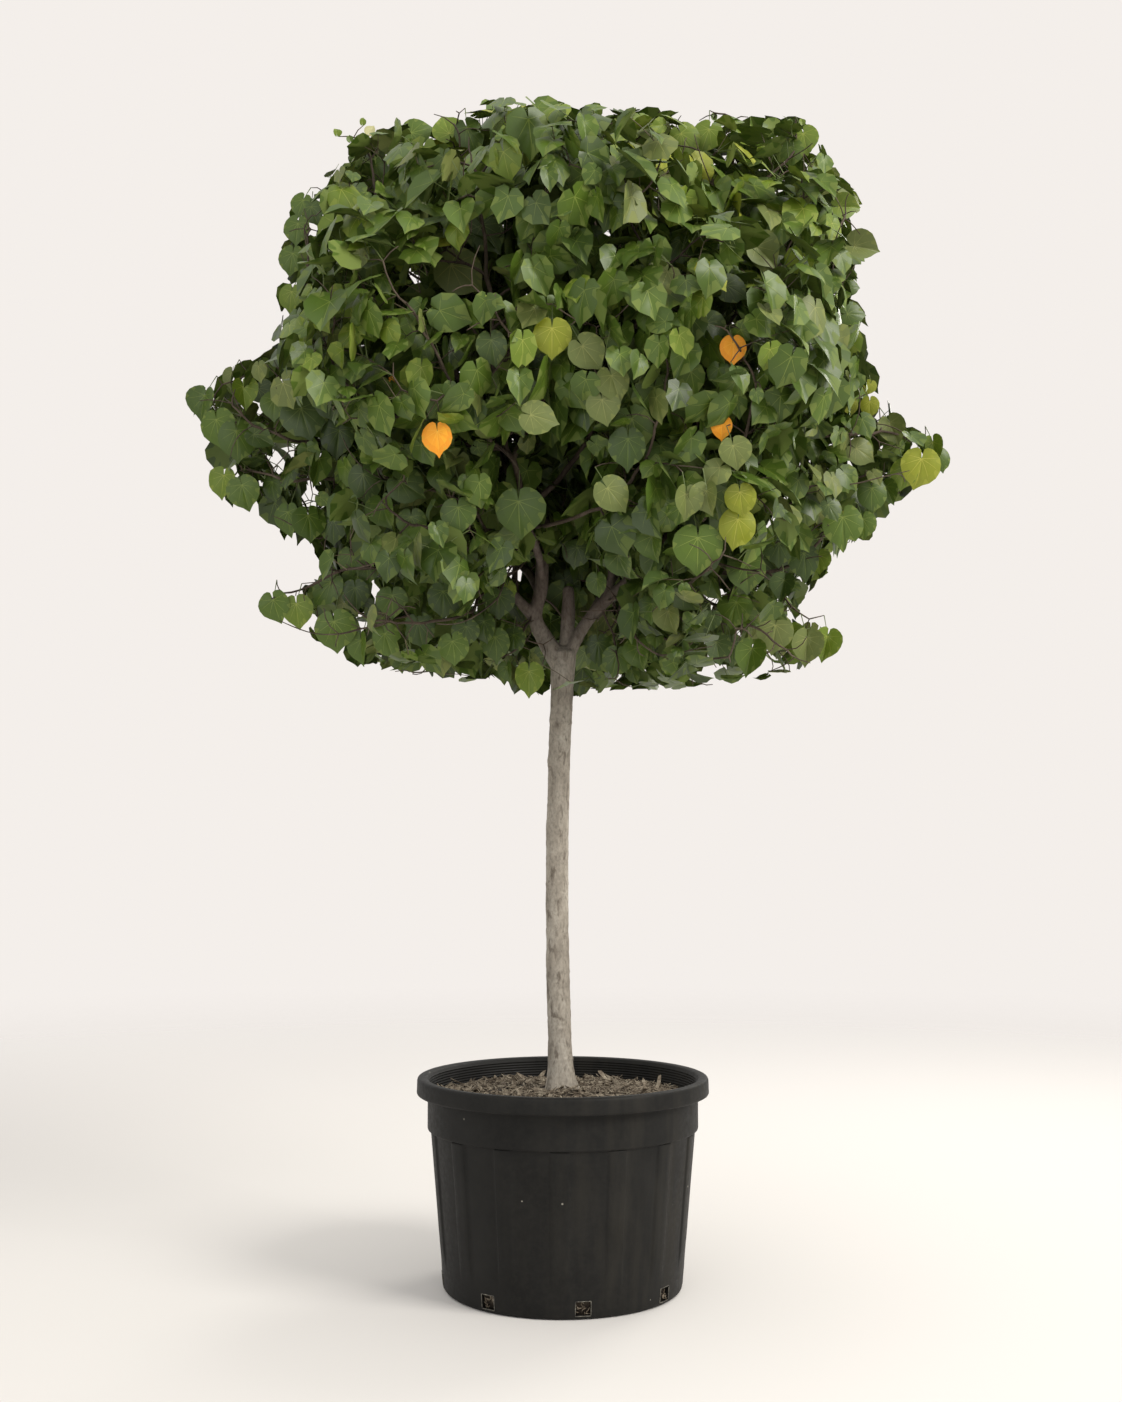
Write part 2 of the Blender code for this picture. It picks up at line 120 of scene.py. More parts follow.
# masses of foliage: centre, half sizes, lobe seed
MASSES = {
    "foliage_top_left": ((-0.455, -0.02, 2.160), (0.160, 0.260, 0.190), 1),
    "foliage_top_middle_left": ((-0.190, 0.00, 2.225), (0.200, 0.290, 0.225), 2),
    "foliage_top_middle_right": ((0.190, 0.02, 2.225), (0.220, 0.290, 0.228), 3),
    "foliage_top_right": ((0.475, 0.00, 2.210), (0.155, 0.260, 0.220), 4),
    "foliage_top_back": ((0.010, 0.33, 2.180), (0.360, 0.270, 0.220), 5),
    "foliage_upper_front": ((0.000, -0.36, 2.090), (0.360, 0.220, 0.165), 6),
    "foliage_middle_left": ((-0.410, 0.02, 1.900), (0.205, 0.310, 0.200), 7),
    "foliage_middle_front_left": ((-0.230, -0.36, 1.830), (0.260, 0.250, 0.210), 8),
    "foliage_middle_front_right": ((0.220, -0.37, 1.840), (0.260, 0.250, 0.210), 9),
    "foliage_middle_right": ((0.430, 0.02, 1.915), (0.215, 0.310, 0.210), 10),
    "foliage_middle_back_right": ((0.230, 0.40, 1.860), (0.270, 0.260, 0.240), 11),
    "foliage_middle_back_left": ((-0.220, 0.40, 1.840), (0.270, 0.260, 0.240), 12),
    "foliage_heart": ((0.000, 0.00, 1.860), (0.220, 0.220, 0.260), 13),
    "foliage_low_left": ((-0.410, 0.08, 1.590), (0.195, 0.250, 0.200), 14),
    "foliage_low_front_left": ((-0.255, -0.27, 1.440), (0.190, 0.210, 0.200), 15),
    "foliage_low_front_right": ((0.235, -0.29, 1.440), (0.190, 0.220, 0.210), 16),
    "foliage_low_right": ((0.430, 0.06, 1.600), (0.215, 0.270, 0.210), 17),
    "foliage_low_back": ((0.010, 0.38, 1.480), (0.330, 0.220, 0.210), 18),
    "foliage_left_arm": ((-0.650, -0.05, 1.740), (0.152, 0.165, 0.135), 19),
    "foliage_right_tip": ((0.692, -0.03, 1.700), (0.128, 0.145, 0.115), 20),
    "foliage_low_left_spray": ((-0.475, -0.08, 1.360), (0.155, 0.150, 0.095), 21),
    "foliage_low_right_spray": ((0.430, -0.10, 1.305), (0.150, 0.130, 0.075), 22),
    "foliage_back_arm": ((0.140, 0.680, 1.640), (0.170, 0.140, 0.120), 23),
}
BOXY = 2.9
MASS_GAP = 0.016

# camera: place, upward tilt in degrees, focal length in pixels of a 1122 x 1402 picture
CAMERA = (-0.0037, -3.3, 0.893)
TILT = 5.2
FOCAL = 1575.0
FRAME_W, FRAME_H = 1122, 1402


# ---------------------------------------------------------------- helpers --
def unit(v):
    v = np.asarray(v, float)
    return v / max(float(np.linalg.norm(v)), 1e-12)


def project(p):
    """Where points (n, 3) fall in the 1122 x 1402 picture."""
    p = np.atleast_2d(p)
    t = math.radians(TILT)
    x, y, z = p[:, 0] - CAMERA[0], p[:, 1] - CAMERA[1], p[:, 2] - CAMERA[2]
    depth = y * math.cos(t) + z * math.sin(t)
    rise = -y * math.sin(t) + z * math.cos(t)
    return np.stack([FRAME_W / 2 + FOCAL * x / depth, FRAME_H / 2 - FOCAL * rise / depth], 1)


def unproject(px, py, y):
    """The point of the plane at this y that falls on a place of the picture."""
    t = math.radians(TILT)
    u, v = (px - FRAME_W / 2) / FOCAL, (FRAME_H / 2 - py) / FOCAL
    s = (y - CAMERA[1]) / (math.cos(t) - v * math.sin(t))
    return np.array([CAMERA[0] + u * s, y, CAMERA[2] + (math.sin(t) + v * math.cos(t)) * s])


def lattice(ix, iy, iz, seed):
    h = (ix * 374761393 + iy * 668265263 + iz * 1440662683 + seed * 1274126177) & 0xFFFFFFFF
    h = ((h ^ (h >> 13)) * 1103515245) & 0xFFFFFFFF
    h = ((h ^ (h >> 15)) * 2246822519) & 0xFFFFFFFF
    return ((h >> 8) & 0xFFFF) / 32767.5 - 1.0


def grain(p, scale, seed=0):
    """Smooth noise in -1..1 at points (n, 3); scale is cells a metre, one number or three."""
    q = np.asarray(p, float) * np.asarray(scale, float) + 1000.0
    i = np.floor(q).astype(np.int64)
    f = q - i
    f = f * f * f * (f * (f * 6 - 15) + 10)
    out = 0.0
    for dx in (0, 1):
        wx = f[:, 0] if dx else 1 - f[:, 0]
        for dy in (0, 1):
            wy = f[:, 1] if dy else 1 - f[:, 1]
            for dz in (0, 1):
                wz = f[:, 2] if dz else 1 - f[:, 2]
                out = out + wx * wy * wz * lattice(i[:, 0] + dx, i[:, 1] + dy, i[:, 2] + dz, seed)
    return out


class Build:
    """Gathers vertices and faces, then makes one mesh object of them."""

    def __init__(self):
        self.co, self.loops, self.sizes, self.mats, self.count = [], [], [], [], 0

    def put(self, co, faces, mat=0):
        """faces is a list of index tuples; mat is one index or one for each face."""
        self.co.append(np.asarray(co, np.float32).reshape(-1, 3))
        self.loops.append(np.concatenate([np.asarray(f, np.int64) for f in faces]) + self.count)
        self.sizes.append(np.array([len(f) for f in faces]))
        self.mats.append(np.full(len(faces), mat) if np.isscalar(mat) else np.asarray(mat))
        self.count += len(self.co[-1])

    def put_flat(self, co, loops, sizes, mats):
        self.co.append(np.asarray(co, np.float32).reshape(-1, 3))
        self.loops.append(loops + self.count)
        self.sizes.append(sizes)
        self.mats.append(mats)
        self.count += len(self.co[-1])

    def triangles(self):
        return int(sum((s - 2).sum() for s in self.sizes))

    def make(self, name, materials, smooth=True, sharp=None):
        mesh = bpy.data.meshes.new(name)
        co = np.concatenate(self.co)
        loops = np.concatenate(self.loops)
        sizes = np.concatenate(self.sizes)
        mesh.vertices.add(len(co))
        mesh.vertices.foreach_set("co", co.ravel())
        mesh.loops.add(len(loops))
        mesh.loops.foreach_set("vertex_index", loops.astype(np.int32))
        mesh.polygons.add(len(sizes))
        starts = np.concatenate([[0], np.cumsum(sizes)[:-1]])
        mesh.polygons.foreach_set("loop_start", starts.astype(np.int32))
        for m in materials:
            mesh.materials.append(m)
        mesh.polygons.foreach_set("material_index", np.concatenate(self.mats).astype(np.int32))
        mesh.polygons.foreach_set("use_smooth", np.full(len(sizes), smooth))
        mesh.update(calc_edges=True)
        mesh.validate()
        if sharp is not None:
            mesh.set_sharp_from_angle(angle=math.radians(sharp))
        obj = bpy.data.objects.new(name, mesh)
        bpy.context.scene.collection.objects.link(obj)
        return obj


def catmull(points, count):
    pts = [np.array(p, float) for p in points]
    pts = [2 * pts[0] - pts[1]] + pts + [2 * pts[-1] - pts[-2]]
    spans = len(pts) - 3
    out = []
    for k in range(count):
        u = k * spans / (count - 1)
        i = min(int(u), spans - 1)
        f = u - i
        a, b, c, d = pts[i:i + 4]
        out.append(0.5 * ((2 * b) + (c - a) * f + (2 * a - 5 * b + 4 * c - d) * f ** 2
                          + (3 * b - a - 3 * c + d) * f ** 3))
    return np.array(out)


def tube_mesh(path, radii, sides, cap_start=True, cap_end=True):
    """Vertices and faces of a tube along the path, its rings turned as little as can be."""
    path = np.asarray(path, float)
    n = len(path)
    t = np.gradient(path, axis=0)
    t /= np.maximum(np.linalg.norm(t, axis=1, keepdims=True), 1e-9)
    e = np.cross(t[0], [0, 0, 1.0])
    if np.linalg.norm(e) < 1e-3:
        e = np.cross(t[0], [1.0, 0, 0])
    e = unit(e)
    rings = []
    ang = np.arange(sides) * 2 * math.pi / sides
    for k in range(n):
        e = unit(e - t[k] * float(e @ t[k]))
        b = np.cross(t[k], e)
        rings.append(path[k] + radii[k] * (np.cos(ang)[:, None] * e + np.sin(ang)[:, None] * b))
    co = np.concatenate(rings)
    faces = []
    for k in range(n - 1):
        for s in range(sides):
            a, b2 = k * sides + s, k * sides + (s + 1) % sides
            faces.append((a, b2, b2 + sides, a + sides))
    if cap_start:
        faces.append(tuple(range(sides))[::-1])
    if cap_end:
        faces.append(tuple((n - 1) * sides + s for s in range(sides)))
    return co, faces


# -------------------------------------------------------------- materials --
def new_material(name):
    mat = bpy.data.materials.new(name)
    mat.use_nodes = True
    tree = mat.node_tree
    return mat, tree, tree.nodes["Principled BSDF"]


def plain(name, rgb, roughness, specular=0.5, coat=0.0, sheen=0.0):
    mat, _, bsdf = new_material(name)
    bsdf.inputs["Base Color"].default_value = (*rgb, 1)
    bsdf.inputs["Roughness"].default_value = roughness
    bsdf.inputs["Specular IOR Level"].default_value = specular
    bsdf.inputs["Coat Weight"].default_value = coat
    bsdf.inputs["Sheen Weight"].default_value = sheen
    mat.diffuse_color = (*rgb, 1)
    return mat


def node(tree, kind, **values):
    n = tree.nodes.new(kind)
    for key, value in values.items():
        if key.startswith("in_"):
            n.inputs[key[3:].replace("_", " ")].default_value = value
        else:
            setattr(n, key, value)
    return n


def coords(tree, scale):
    tc = node(tree, "ShaderNodeTexCoord")
    mp = node(tree, "ShaderNodeMapping")
    mp.inputs["Scale"].default_value = scale
    tree.links.new(tc.outputs["Object"], mp.inputs["Vector"])
    return mp.outputs["Vector"]


def noise_tex(tree, scale, detail=4.0, rough=0.55, stretch=(1, 1, 1), distortion=0.0):
    n = node(tree, "ShaderNodeTexNoise")
    n.inputs["Scale"].default_value = scale
    n.inputs["Detail"].default_value = detail
    n.inputs["Roughness"].default_value = rough
    n.inputs["Distortion"].default_value = distortion
    tree.links.new(coords(tree, stretch), n.inputs["Vector"])
    return n.outputs["Fac"]


def ramp(tree, fac, stops, mode="LINEAR"):
    r = node(tree, "ShaderNodeValToRGB")
    r.color_ramp.interpolation = mode
    els = r.color_ramp.elements
    while len(els) > 1:
        els.remove(els[-1])
    els[0].position, els[0].color = stops[0][0], (*stops[0][1], 1)
    for pos, col in stops[1:]:
        e = els.new(pos)
        e.color = (*col, 1)
    tree.links.new(fac, r.inputs["Fac"])
    return r.outputs["Color"]


def grey(v):
    return (v, v, v)


def mix(tree, fac, a, b, mode="MIX"):
    m = node(tree, "ShaderNodeMix", data_type="RGBA", blend_type=mode)
    for value, socket in ((fac, m.inputs[0]), (a, m.inputs[6]), (b, m.inputs[7])):
        if isinstance(value, bpy.types.NodeSocket):
            tree.links.new(value, socket)
        elif isinstance(value, (int, float)):
            socket.default_value = value
        else:
            socket.default_value = (*value, 1)
    return m.outputs[2]


def maths(tree, op, a, b=None, clamp=False):
    m = node(tree, "ShaderNodeMath", operation=op, use_clamp=clamp)
    for value, socket in ((a, m.inputs[0]), (b, m.inputs[1])):
        if value is None:
            continue
        if isinstance(value, bpy.types.NodeSocket):
            tree.links.new(value, socket)
        else:
            socket.default_value = value
    return m.outputs[0]


def bump(tree, bsdf, height, strength, distance):
    b = node(tree, "ShaderNodeBump")
    b.inputs["Strength"].default_value = strength
    b.inputs["Distance"].default_value = distance
    tree.links.new(height, b.inputs["Height"])
    tree.links.new(b.outputs["Normal"], bsdf.inputs["Normal"])


def pot_material():
    mat, tree, bsdf = new_material("black_pot_plastic")
    fine = noise_tex(tree, 95, 6, 0.65)
    broad = noise_tex(tree, 9, 4, 0.6)
    streak = noise_tex(tree, 26, 5, 0.6, stretch=(1, 1, 0.10))
    base = ramp(tree, broad, [(0.30, (0.0065, 0.0065, 0.0062)), (0.70, (0.0135, 0.0132, 0.0122))])
    # dust settles in vertical streaks; the streaks are made thicker towards the right (+x) as painted light from the
    # key on that side
    geo = node(tree, "ShaderNodeTexCoord")
    sep = node(tree, "ShaderNodeSeparateXYZ")
    tree.links.new(geo.outputs["Object"], sep.inputs[0])
    # painted light: this ramp along x makes the pot's right side paler, as the key light from the right would
    side = maths(tree, "MULTIPLY_ADD", sep.outputs[0], 1.9)
    side.node.inputs[2].default_value = 0.32
    side = maths(tree, "ADD", side, 0.0, clamp=True)
    streaks = ramp(tree, streak, [(0.44, grey(0.0)), (0.74, grey(1.0))])
    dust_and_painted_light = maths(tree, "MULTIPLY", streaks, side)
    dust_and_painted_light = maths(tree, "MULTIPLY", dust_and_painted_light, 0.55)
    base = mix(tree, dust_and_painted_light, base, (0.052, 0.046, 0.035))
    film = ramp(tree, fine, [(0.42, grey(0.0)), (0.80, grey(0.42))])
    base = mix(tree, film, base, (0.026, 0.0245, 0.021))
    # light grains of mix stuck to the plastic
    vor = node(tree, "ShaderNodeTexVoronoi", feature="F1")
    vor.inputs["Scale"].default_value = 21.0
    vor.inputs["Randomness"].default_value = 1.0
    tree.links.new(coords(tree, (1, 1, 1)), vor.inputs["Vector"])
    speck = ramp(tree, vor.outputs["Distance"], [(0.0, grey(1.0)), (0.030, grey(1.0)), (0.046, grey(0.0))])
    some = noise_tex(tree, 14, 2, 0.5)
    some = ramp(tree, some, [(0.56, grey(0.0)), (0.60, grey(0.9))])
    speck = maths(tree, "MULTIPLY", speck, some)
    base = mix(tree, speck, base, (0.50, 0.47, 0.40))
    tree.links.new(base, bsdf.inputs["Base Color"])
    rough = ramp(tree, fine, [(0.30, grey(0.44)), (0.75, grey(0.66))])
    rough = mix(tree, dust_and_painted_light, rough, (0.85, 0.85, 0.85))
    tree.links.new(rough, bsdf.inputs["Roughness"])
    bsdf.inputs["Specular IOR Level"].default_value = 0.15
    h = noise_tex(tree, 420, 3, 0.6)
    bump(tree, bsdf, h, 0.16, 0.0006)
    return mat


def worn_material():
    mat, tree, bsdf = new_material("worn_pot_edges")
    fine = noise_tex(tree, 160, 5, 0.7)
    base = ramp(tree, fine, [(0.40, (0.030, 0.028, 0.024)), (0.58, (0.155, 0.145, 0.118)), (0.72, (0.27, 0.255, 0.21))])
    tree.links.new(base, bsdf.inputs["Base Color"])
    bsdf.inputs["Roughness"].default_value = 0.8
    bump(tree, bsdf, fine, 0.3, 0.001)
    return mat


def bark_material(name, twig=False):
    mat, tree, bsdf = new_material(name)
    blotch = noise_tex(tree, 26, 6, 0.62, stretch=(1, 1, 0.42))
    fine = noise_tex(tree, 210, 5, 0.65, stretch=(1, 1, 0.55))
    fleck = noise_tex(tree, 78, 4, 0.6, stretch=(1, 1, 0.35), distortion=0.6)
    if twig:
        base = ramp(tree, blotch, [(0.32, (0.050, 0.036, 0.026)), (0.55, (0.092, 0.068, 0.048)),
                                   (0.75, (0.150, 0.118, 0.086))])
    else:
        base = ramp(tree, blotch, [(0.30, (0.205, 0.180, 0.148)), (0.48, (0.300, 0.268, 0.222)),
                                   (0.62, (0.372, 0.338, 0.286)), (0.78, (0.445, 0.410, 0.352))])
        flecks = ramp(tree, fleck, [(0.34, grey(0.85)), (0.46, grey(0.0))])
        base = mix(tree, flecks, base, (0.135, 0.112, 0.088))
        sep = node(tree, "ShaderNodeSeparateXYZ")
        tc = node(tree, "ShaderNodeTexCoord")
        tree.links.new(tc.outputs["Object"], sep.inputs[0])
        up = maths(tree, "MULTIPLY_ADD", sep.outputs[2], 7.0)
        up.node.inputs[2].default_value = -8.75       # from 1.25 m up the bark is young and brown, and darker as painted shade under the crown
        up = maths(tree, "ADD", up, 0.0, clamp=True)
        # painted shade: the young bark's colours are far darker than the stem's, standing in for the crown's shadow on
        # the boughs
        young_bark_and_painted_shade = ramp(tree, blotch, [(0.32, (0.088, 0.066, 0.055)), (0.55, (0.142, 0.110, 0.090)),
                                    (0.74, (0.215, 0.175, 0.145))])
        young_and_shade_amount = maths(tree, "MULTIPLY", up, 0.92)
        base = mix(tree, young_and_shade_amount, base, young_bark_and_painted_shade)
    grainy = ramp(tree, fine, [(0.30, grey(0.62)), (0.50, grey(1.0)), (0.72, grey(1.22))])
    base = mix(tree, 0.85, base, grainy, "MULTIPLY")
    tree.links.new(base, bsdf.inputs["Base Color"])
    rough = ramp(tree, fine, [(0.30, grey(0.92)), (0.75, grey(0.72))])
    tree.links.new(rough, bsdf.inputs["Roughness"])
    bsdf.inputs["Specular IOR Level"].default_value = 0.3
    h = mix(tree, 0.45, fine, fleck)
    bump(tree, bsdf, h, 0.45, 0.0016)
    return mat


def mix_material(name, dark):
    """Composted bark: fibres and crumbs from near black to pale straw."""
    mat, tree, bsdf = new_material(name)
    lumps = noise_tex(tree, 55, 6, 0.7)
    fibre = noise_tex(tree, 330, 4, 0.7)
    if dark:
        base = ramp(tree, lumps, [(0.30, (0.020, 0.016, 0.012)), (0.55, (0.055, 0.043, 0.032)),
                                  (0.80, (0.115, 0.094, 0.070))])
    else:
        base = ramp(tree, lumps, [(0.30, (0.060, 0.046, 0.034)), (0.46, (0.150, 0.120, 0.088)),
                                  (0.58, (0.275, 0.235, 0.178)), (0.72, (0.430, 0.385, 0.305))])
    tone = ramp(tree, fibre, [(0.30, grey(0.55)), (0.70, grey(1.30))])
    base = mix(tree, 0.9, base, tone, "MULTIPLY")
    tree.links.new(base, bsdf.inputs["Base Color"])
    bsdf.inputs["Roughness"].default_value = 0.94
    bsdf.inputs["Specular IOR Level"].default_value = 0.2
    bump(tree, bsdf, fibre, 0.6, 0.0015)
    return mat


# -------------------------------------------------------------------- pot --
def outer_radius(z):
    return FOOT_RADIUS + (BODY_RADIUS - FOOT_RADIUS) * z / STEP_Z


def smooth_step(a, b, x):
    t = min(max((x - a) / (b - a), 0.0), 1.0)
    return t * t * (3 - 2 * t)


def pot_section():
    """(radius, height, share of the rib's height) from the axis below, round, to the axis inside."""
    rows = [(0.120, 0.0, 0), (0.205, 0.0, 0), (0.228, 0.0, 0)]
    for k in range(7):
        a = math.radians(-90 + 15 * k)
        rows.append((FOOT_RADIUS - FOOT_ROUND + FOOT_ROUND * math.cos(a), FOOT_ROUND + FOOT_ROUND * math.sin(a), 0))
    z = 0.0125
    while z < 0.3045:
        rows.append((outer_radius(z), z, smooth_step(0.045, 0.100, z)))
        z += 0.0110
    for z in (0.3060, 0.3095):
        rows.append((outer_radius(z), z, 1.0))
    rows += [(0.2703, 0.3118, 1.0), (0.2706, 0.3138, 0.8), (0.2712, 0.3152, 0.0), (0.2732, 0.3162, 0),
             (0.2754, 0.3166, 0), (0.2766, 0.3174, 0), (0.2772, 0.3190, 0), (0.2774, 0.3215, 0)]
    rows += [(0.2774, 0.335, 0), (0.2775, 0.350, 0), (0.2775, 0.365, 0), (0.2776, 0.379, 0), (0.2779, 0.3832, 0),
             (0.2790, 0.3855, 0), (0.2815, 0.3864, 0), (0.2890, 0.3863, 0), (0.2945, 0.3860, 0),
             (0.2972, 0.3863, 0), (0.2988, 0.3873, 0), (0.2996, 0.3889, 0), (0.2998, 0.3910, 0),
             (0.2995, 0.3990, 0), (0.2993, 0.4070, 0), (0.2991, 0.4128, 0), (0.2984, 0.4160, 0),
             (0.2968, 0.4183, 0), (0.2942, 0.4196, 0), (0.2905, 0.4199, 0), (0.2860, 0.4197, 0),
             (0.2822, 0.4192, 0), (0.2796, 0.4182, 0), (0.2778, 0.4164, 0), (0.2768, 0.4138, 0)]
    z, k = 0.4112, 0
    while z > 0.3720:       # low rings inside the mouth
        rows.append((0.2752 - (0.4112 - z) * 0.055 + (0.0006 if k % 2 else -0.0006), z, 0))
        z -= 0.0027
        k += 1
    rows += [(0.2715, 0.350, 0), (0.2712, 0.324, 0), (0.2655, 0.308, 0), (0.2480, 0.120, 0),
             (0.2372, 0.0085, 0), (0.2340, FLOOR_Z, 0), (0.120, FLOOR_Z, 0)]
    return rows


def rib_angles():
    """Angles round the pot with close samples at the edges of each rib, and the rib's share there."""
    within = [(0.0, 0.0), (0.45, 0.65), (0.9, 1.0), (3.0, 1.0), (5.5, 1.0), (7.6, 1.0), (8.05, 0.65), (8.5, 0.0),
              (10.6, 0), (12.8, 0), (15.0, 0), (17.2, 0), (19.4, 0), (21.6, 0), (23.2, 0)]
    out = []
    for k in range(RIBS):
        for offset, share in within:
            out.append((math.radians(RIB_FIRST + 24 * k + offset), share))
    return out


def make_pot(mat, worn):
    rows, angles = pot_section(), rib_angles()
    ang = np.array([a for a, _ in angles])
    rib = np.array([s for _, s in angles])
    b = Build()
    co = []
    for r, z, share in rows:
        rr = r + RIB_HEIGHT * share * rib
        rr = rr + 0.0005 * np.sin(2 * ang + 0.7) * (z > 0.05)
        co.append(np.stack([rr * np.sin(ang), -rr * np.cos(ang), np.full(len(ang), z)], 1))
    co = np.concatenate(co)
    n = len(ang)
    # moulded plastic is never quite true: it wavers by a few tenths of a millimetre
    out = co * [1, 1, 0]
    out /= np.maximum(np.linalg.norm(out, axis=1, keepdims=True), 1e-9)
    waver = 0.00035 * grain(co, 14, 5) + 0.00012 * grain(co, 60, 6)
    co = co + out * (waver * (co[:, 2] > 0.02))[:, None]
    faces = []
    for i in range(len(rows) - 1):
        for k in range(n):
            k2 = (k + 1) % n
            faces.append((i * n + k, i * n + k2, (i + 1) * n + k2, (i + 1) * n + k))
    low, high = len(co), len(co) + 1
    co = np.concatenate([co, [[0, 0, 0.0], [0, 0, FLOOR_Z]]])
    last = (len(rows) - 1) * n
    for k in range(n):
        k2 = (k + 1) % n
        faces.append((low, k2, k))
        faces.append((high, last + k, last + k2))
    b.put(co, faces)
    pot = b.make("pot_finished", [mat], sharp=42)
    # square drain holes round the foot
    bm = bmesh.new()
    for k in range(DRAINS):
        a = math.radians(DRAIN_FIRST + 360 / DRAINS * k)
        made = bmesh.ops.create_cube(bm, size=1.0)
        bmesh.ops.scale(bm, vec=(DRAIN_WIDTH, 0.034, DRAIN_HIGH - DRAIN_LOW), verts=made["verts"])
        bmesh.ops.rotate(bm, cent=(0, 0, 0), verts=made["verts"],
                         matrix=Matrix.Rotation(a, 3, "Z"))
        bmesh.ops.translate(bm, verts=made["verts"],
                            vec=(FOOT_RADIUS * math.sin(a), -FOOT_RADIUS * math.cos(a), (DRAIN_HIGH + DRAIN_LOW) / 2))
    mesh = bpy.data.meshes.new("drain_cutters")
    bm.to_mesh(mesh)
    bm.free()
    cutter = bpy.data.objects.new("drain_cutters", mesh)
    bpy.context.scene.collection.objects.link(cutter)
    apply_boolean(pot, cutter)
    pot.data.set_sharp_from_angle(angle=math.radians(42))
    # a thin moulded bead frames each hole, worn pale where it has been dragged
    b = Build()
    for k in range(DRAINS):
        a = math.radians(DRAIN_FIRST + 360 / DRAINS * k)
        for part in range(4):
            w, z0, z1 = DRAIN_WIDTH / 2, DRAIN_LOW, DRAIN_HIGH
            ends = [((-w, z0), (-w, z1)), ((-w, z1), (w, z1)), ((w, z1), (w, z0)), ((w, z0), (-w, z0))][part]
            line = []
            for s in np.linspace(0, 1, 5):
                u = ends[0][0] + (ends[1][0] - ends[0][0]) * s
                z = ends[0][1] + (ends[1][1] - ends[0][1]) * s
                rr = outer_radius(z) + 0.0001 + (0.0 if z > FOOT_ROUND else -0.0004)
                th = a + u / rr
                line.append((rr * math.sin(th), -rr * math.cos(th), z))
            co, faces = tube_mesh(line, [0.00085] * 5, 6)
            b.put(co, faces)
    frames = b.make("pot_drain_beads", [worn])
    return pot, frames


def apply_boolean(obj, cutter, operation="DIFFERENCE"):
    mod = obj.modifiers.new("cut", "BOOLEAN")
    mod.operation = operation
    mod.solver = "EXACT"
    mod.object = cutter
    deps = bpy.context.evaluated_depsgraph_get()
    mesh = bpy.data.meshes.new_from_object(obj.evaluated_get(deps))
    old = obj.data
    obj.modifiers.clear()
    obj.data = mesh
    bpy.data.meshes.remove(old)
    bpy.data.objects.remove(cutter, do_unlink=True)


# --------------------------------------------------------------- bark mix --
def soil_height(x, y):
    r = np.hypot(x, y)
    t = np.clip((r - SOIL_SEAT_R) / (0.26 - SOIL_SEAT_R), 0, 1)
    z = SOIL_MOUND_Z + (SOIL_EDGE_Z - SOIL_MOUND_Z) * t ** 0.8
    p = np.stack([x, y, np.zeros_like(x)], 1)
    return z + 0.0032 * grain(p, 17, 21) + 0.0022 * grain(p, 48, 22) + 0.0012 * grain(p, 130, 23)


def make_soil(mat):
    """The fill's crumbly top, and its sides down to the pot's floor."""
    sides, rings = 150, 46
    ang = np.arange(sides) * 2 * math.pi / sides
    b = Build()
    co = []
    radii = [0.2695 * (k / (rings - 1)) ** 0.85 for k in range(1, rings)]
    for r in radii:
        x, y = r * np.cos(ang), r * np.sin(ang)
        co.append(np.stack([x, y, soil_height(x, y)], 1))
    for r, z in ((0.2690, 0.355), (0.2690, 0.324), (0.2635, 0.306), (0.2460, 0.120), (0.2348, 0.0070)):
        co.append(np.stack([r * np.cos(ang), r * np.sin(ang), np.full(sides, z)], 1))
    rows = len(co)
    co = np.concatenate(co)
    faces = []
    for i in range(rows - 1):
        for k in range(sides):
            k2 = (k + 1) % sides
            faces.append((i * sides + k, (i + 1) * sides + k, (i + 1) * sides + k2, i * sides + k2))
    top = len(co)
    h = float(soil_height(np.zeros(1), np.zeros(1))[0])
    co = np.concatenate([co, [[0, 0, h], [0, 0, 0.0070]]])
    last = (rows - 1) * sides
    for k in range(sides):
        k2 = (k + 1) % sides
        faces.append((top, k, k2))
        faces.append((top + 1, last + k2, last + k))
    b.put(co, faces)
    return b.make("bark_mix_fill", [mat])


def chip_shape(rng, length, width, thick):
    """A split flake of bark: an uneven outline with ragged ends, as a thin slab."""
    n = 7
    ang = np.sort(rng.uniform(0, 2 * math.pi, n) * 0.35 + np.arange(n) * 2 * math.pi / n * 0.9)
    x = np.cos(ang) * length / 2 * rng.uniform(0.75, 1.1, n)
    y = np.sin(ang) * width / 2 * rng.uniform(0.65, 1.15, n)
    bend = rng.normal(0, 3.0)
    top = np.stack([x, y, thick / 2 * rng.uniform(0.6, 1.2, n) + bend * x * x], 1)
    low = np.stack([x * 0.94, y * 0.9, -thick / 2 * rng.uniform(0.6, 1.2, n) + bend * x * x], 1)
    faces = [tuple(range(n)), tuple(range(2 * n - 1, n - 1, -1))]
    for k in range(n):
        k2 = (k + 1) % n
        faces.append((k, n + k, n + k2, k2))
    return np.concatenate([top, low]), faces


def euler(rx, ry, rz):
    cx, sx, cy, sy, cz, sz = (math.cos(rx), math.sin(rx), math.cos(ry), math.sin(ry), math.cos(rz), math.sin(rz))
    return (np.array([[cz, -sz, 0], [sz, cz, 0], [0, 0, 1]]) @ np.array([[cy, 0, sy], [0, 1, 0], [-sy, 0, cy]])
            @ np.array([[1, 0, 0], [0, cx, -sx], [0, sx, cx]]))


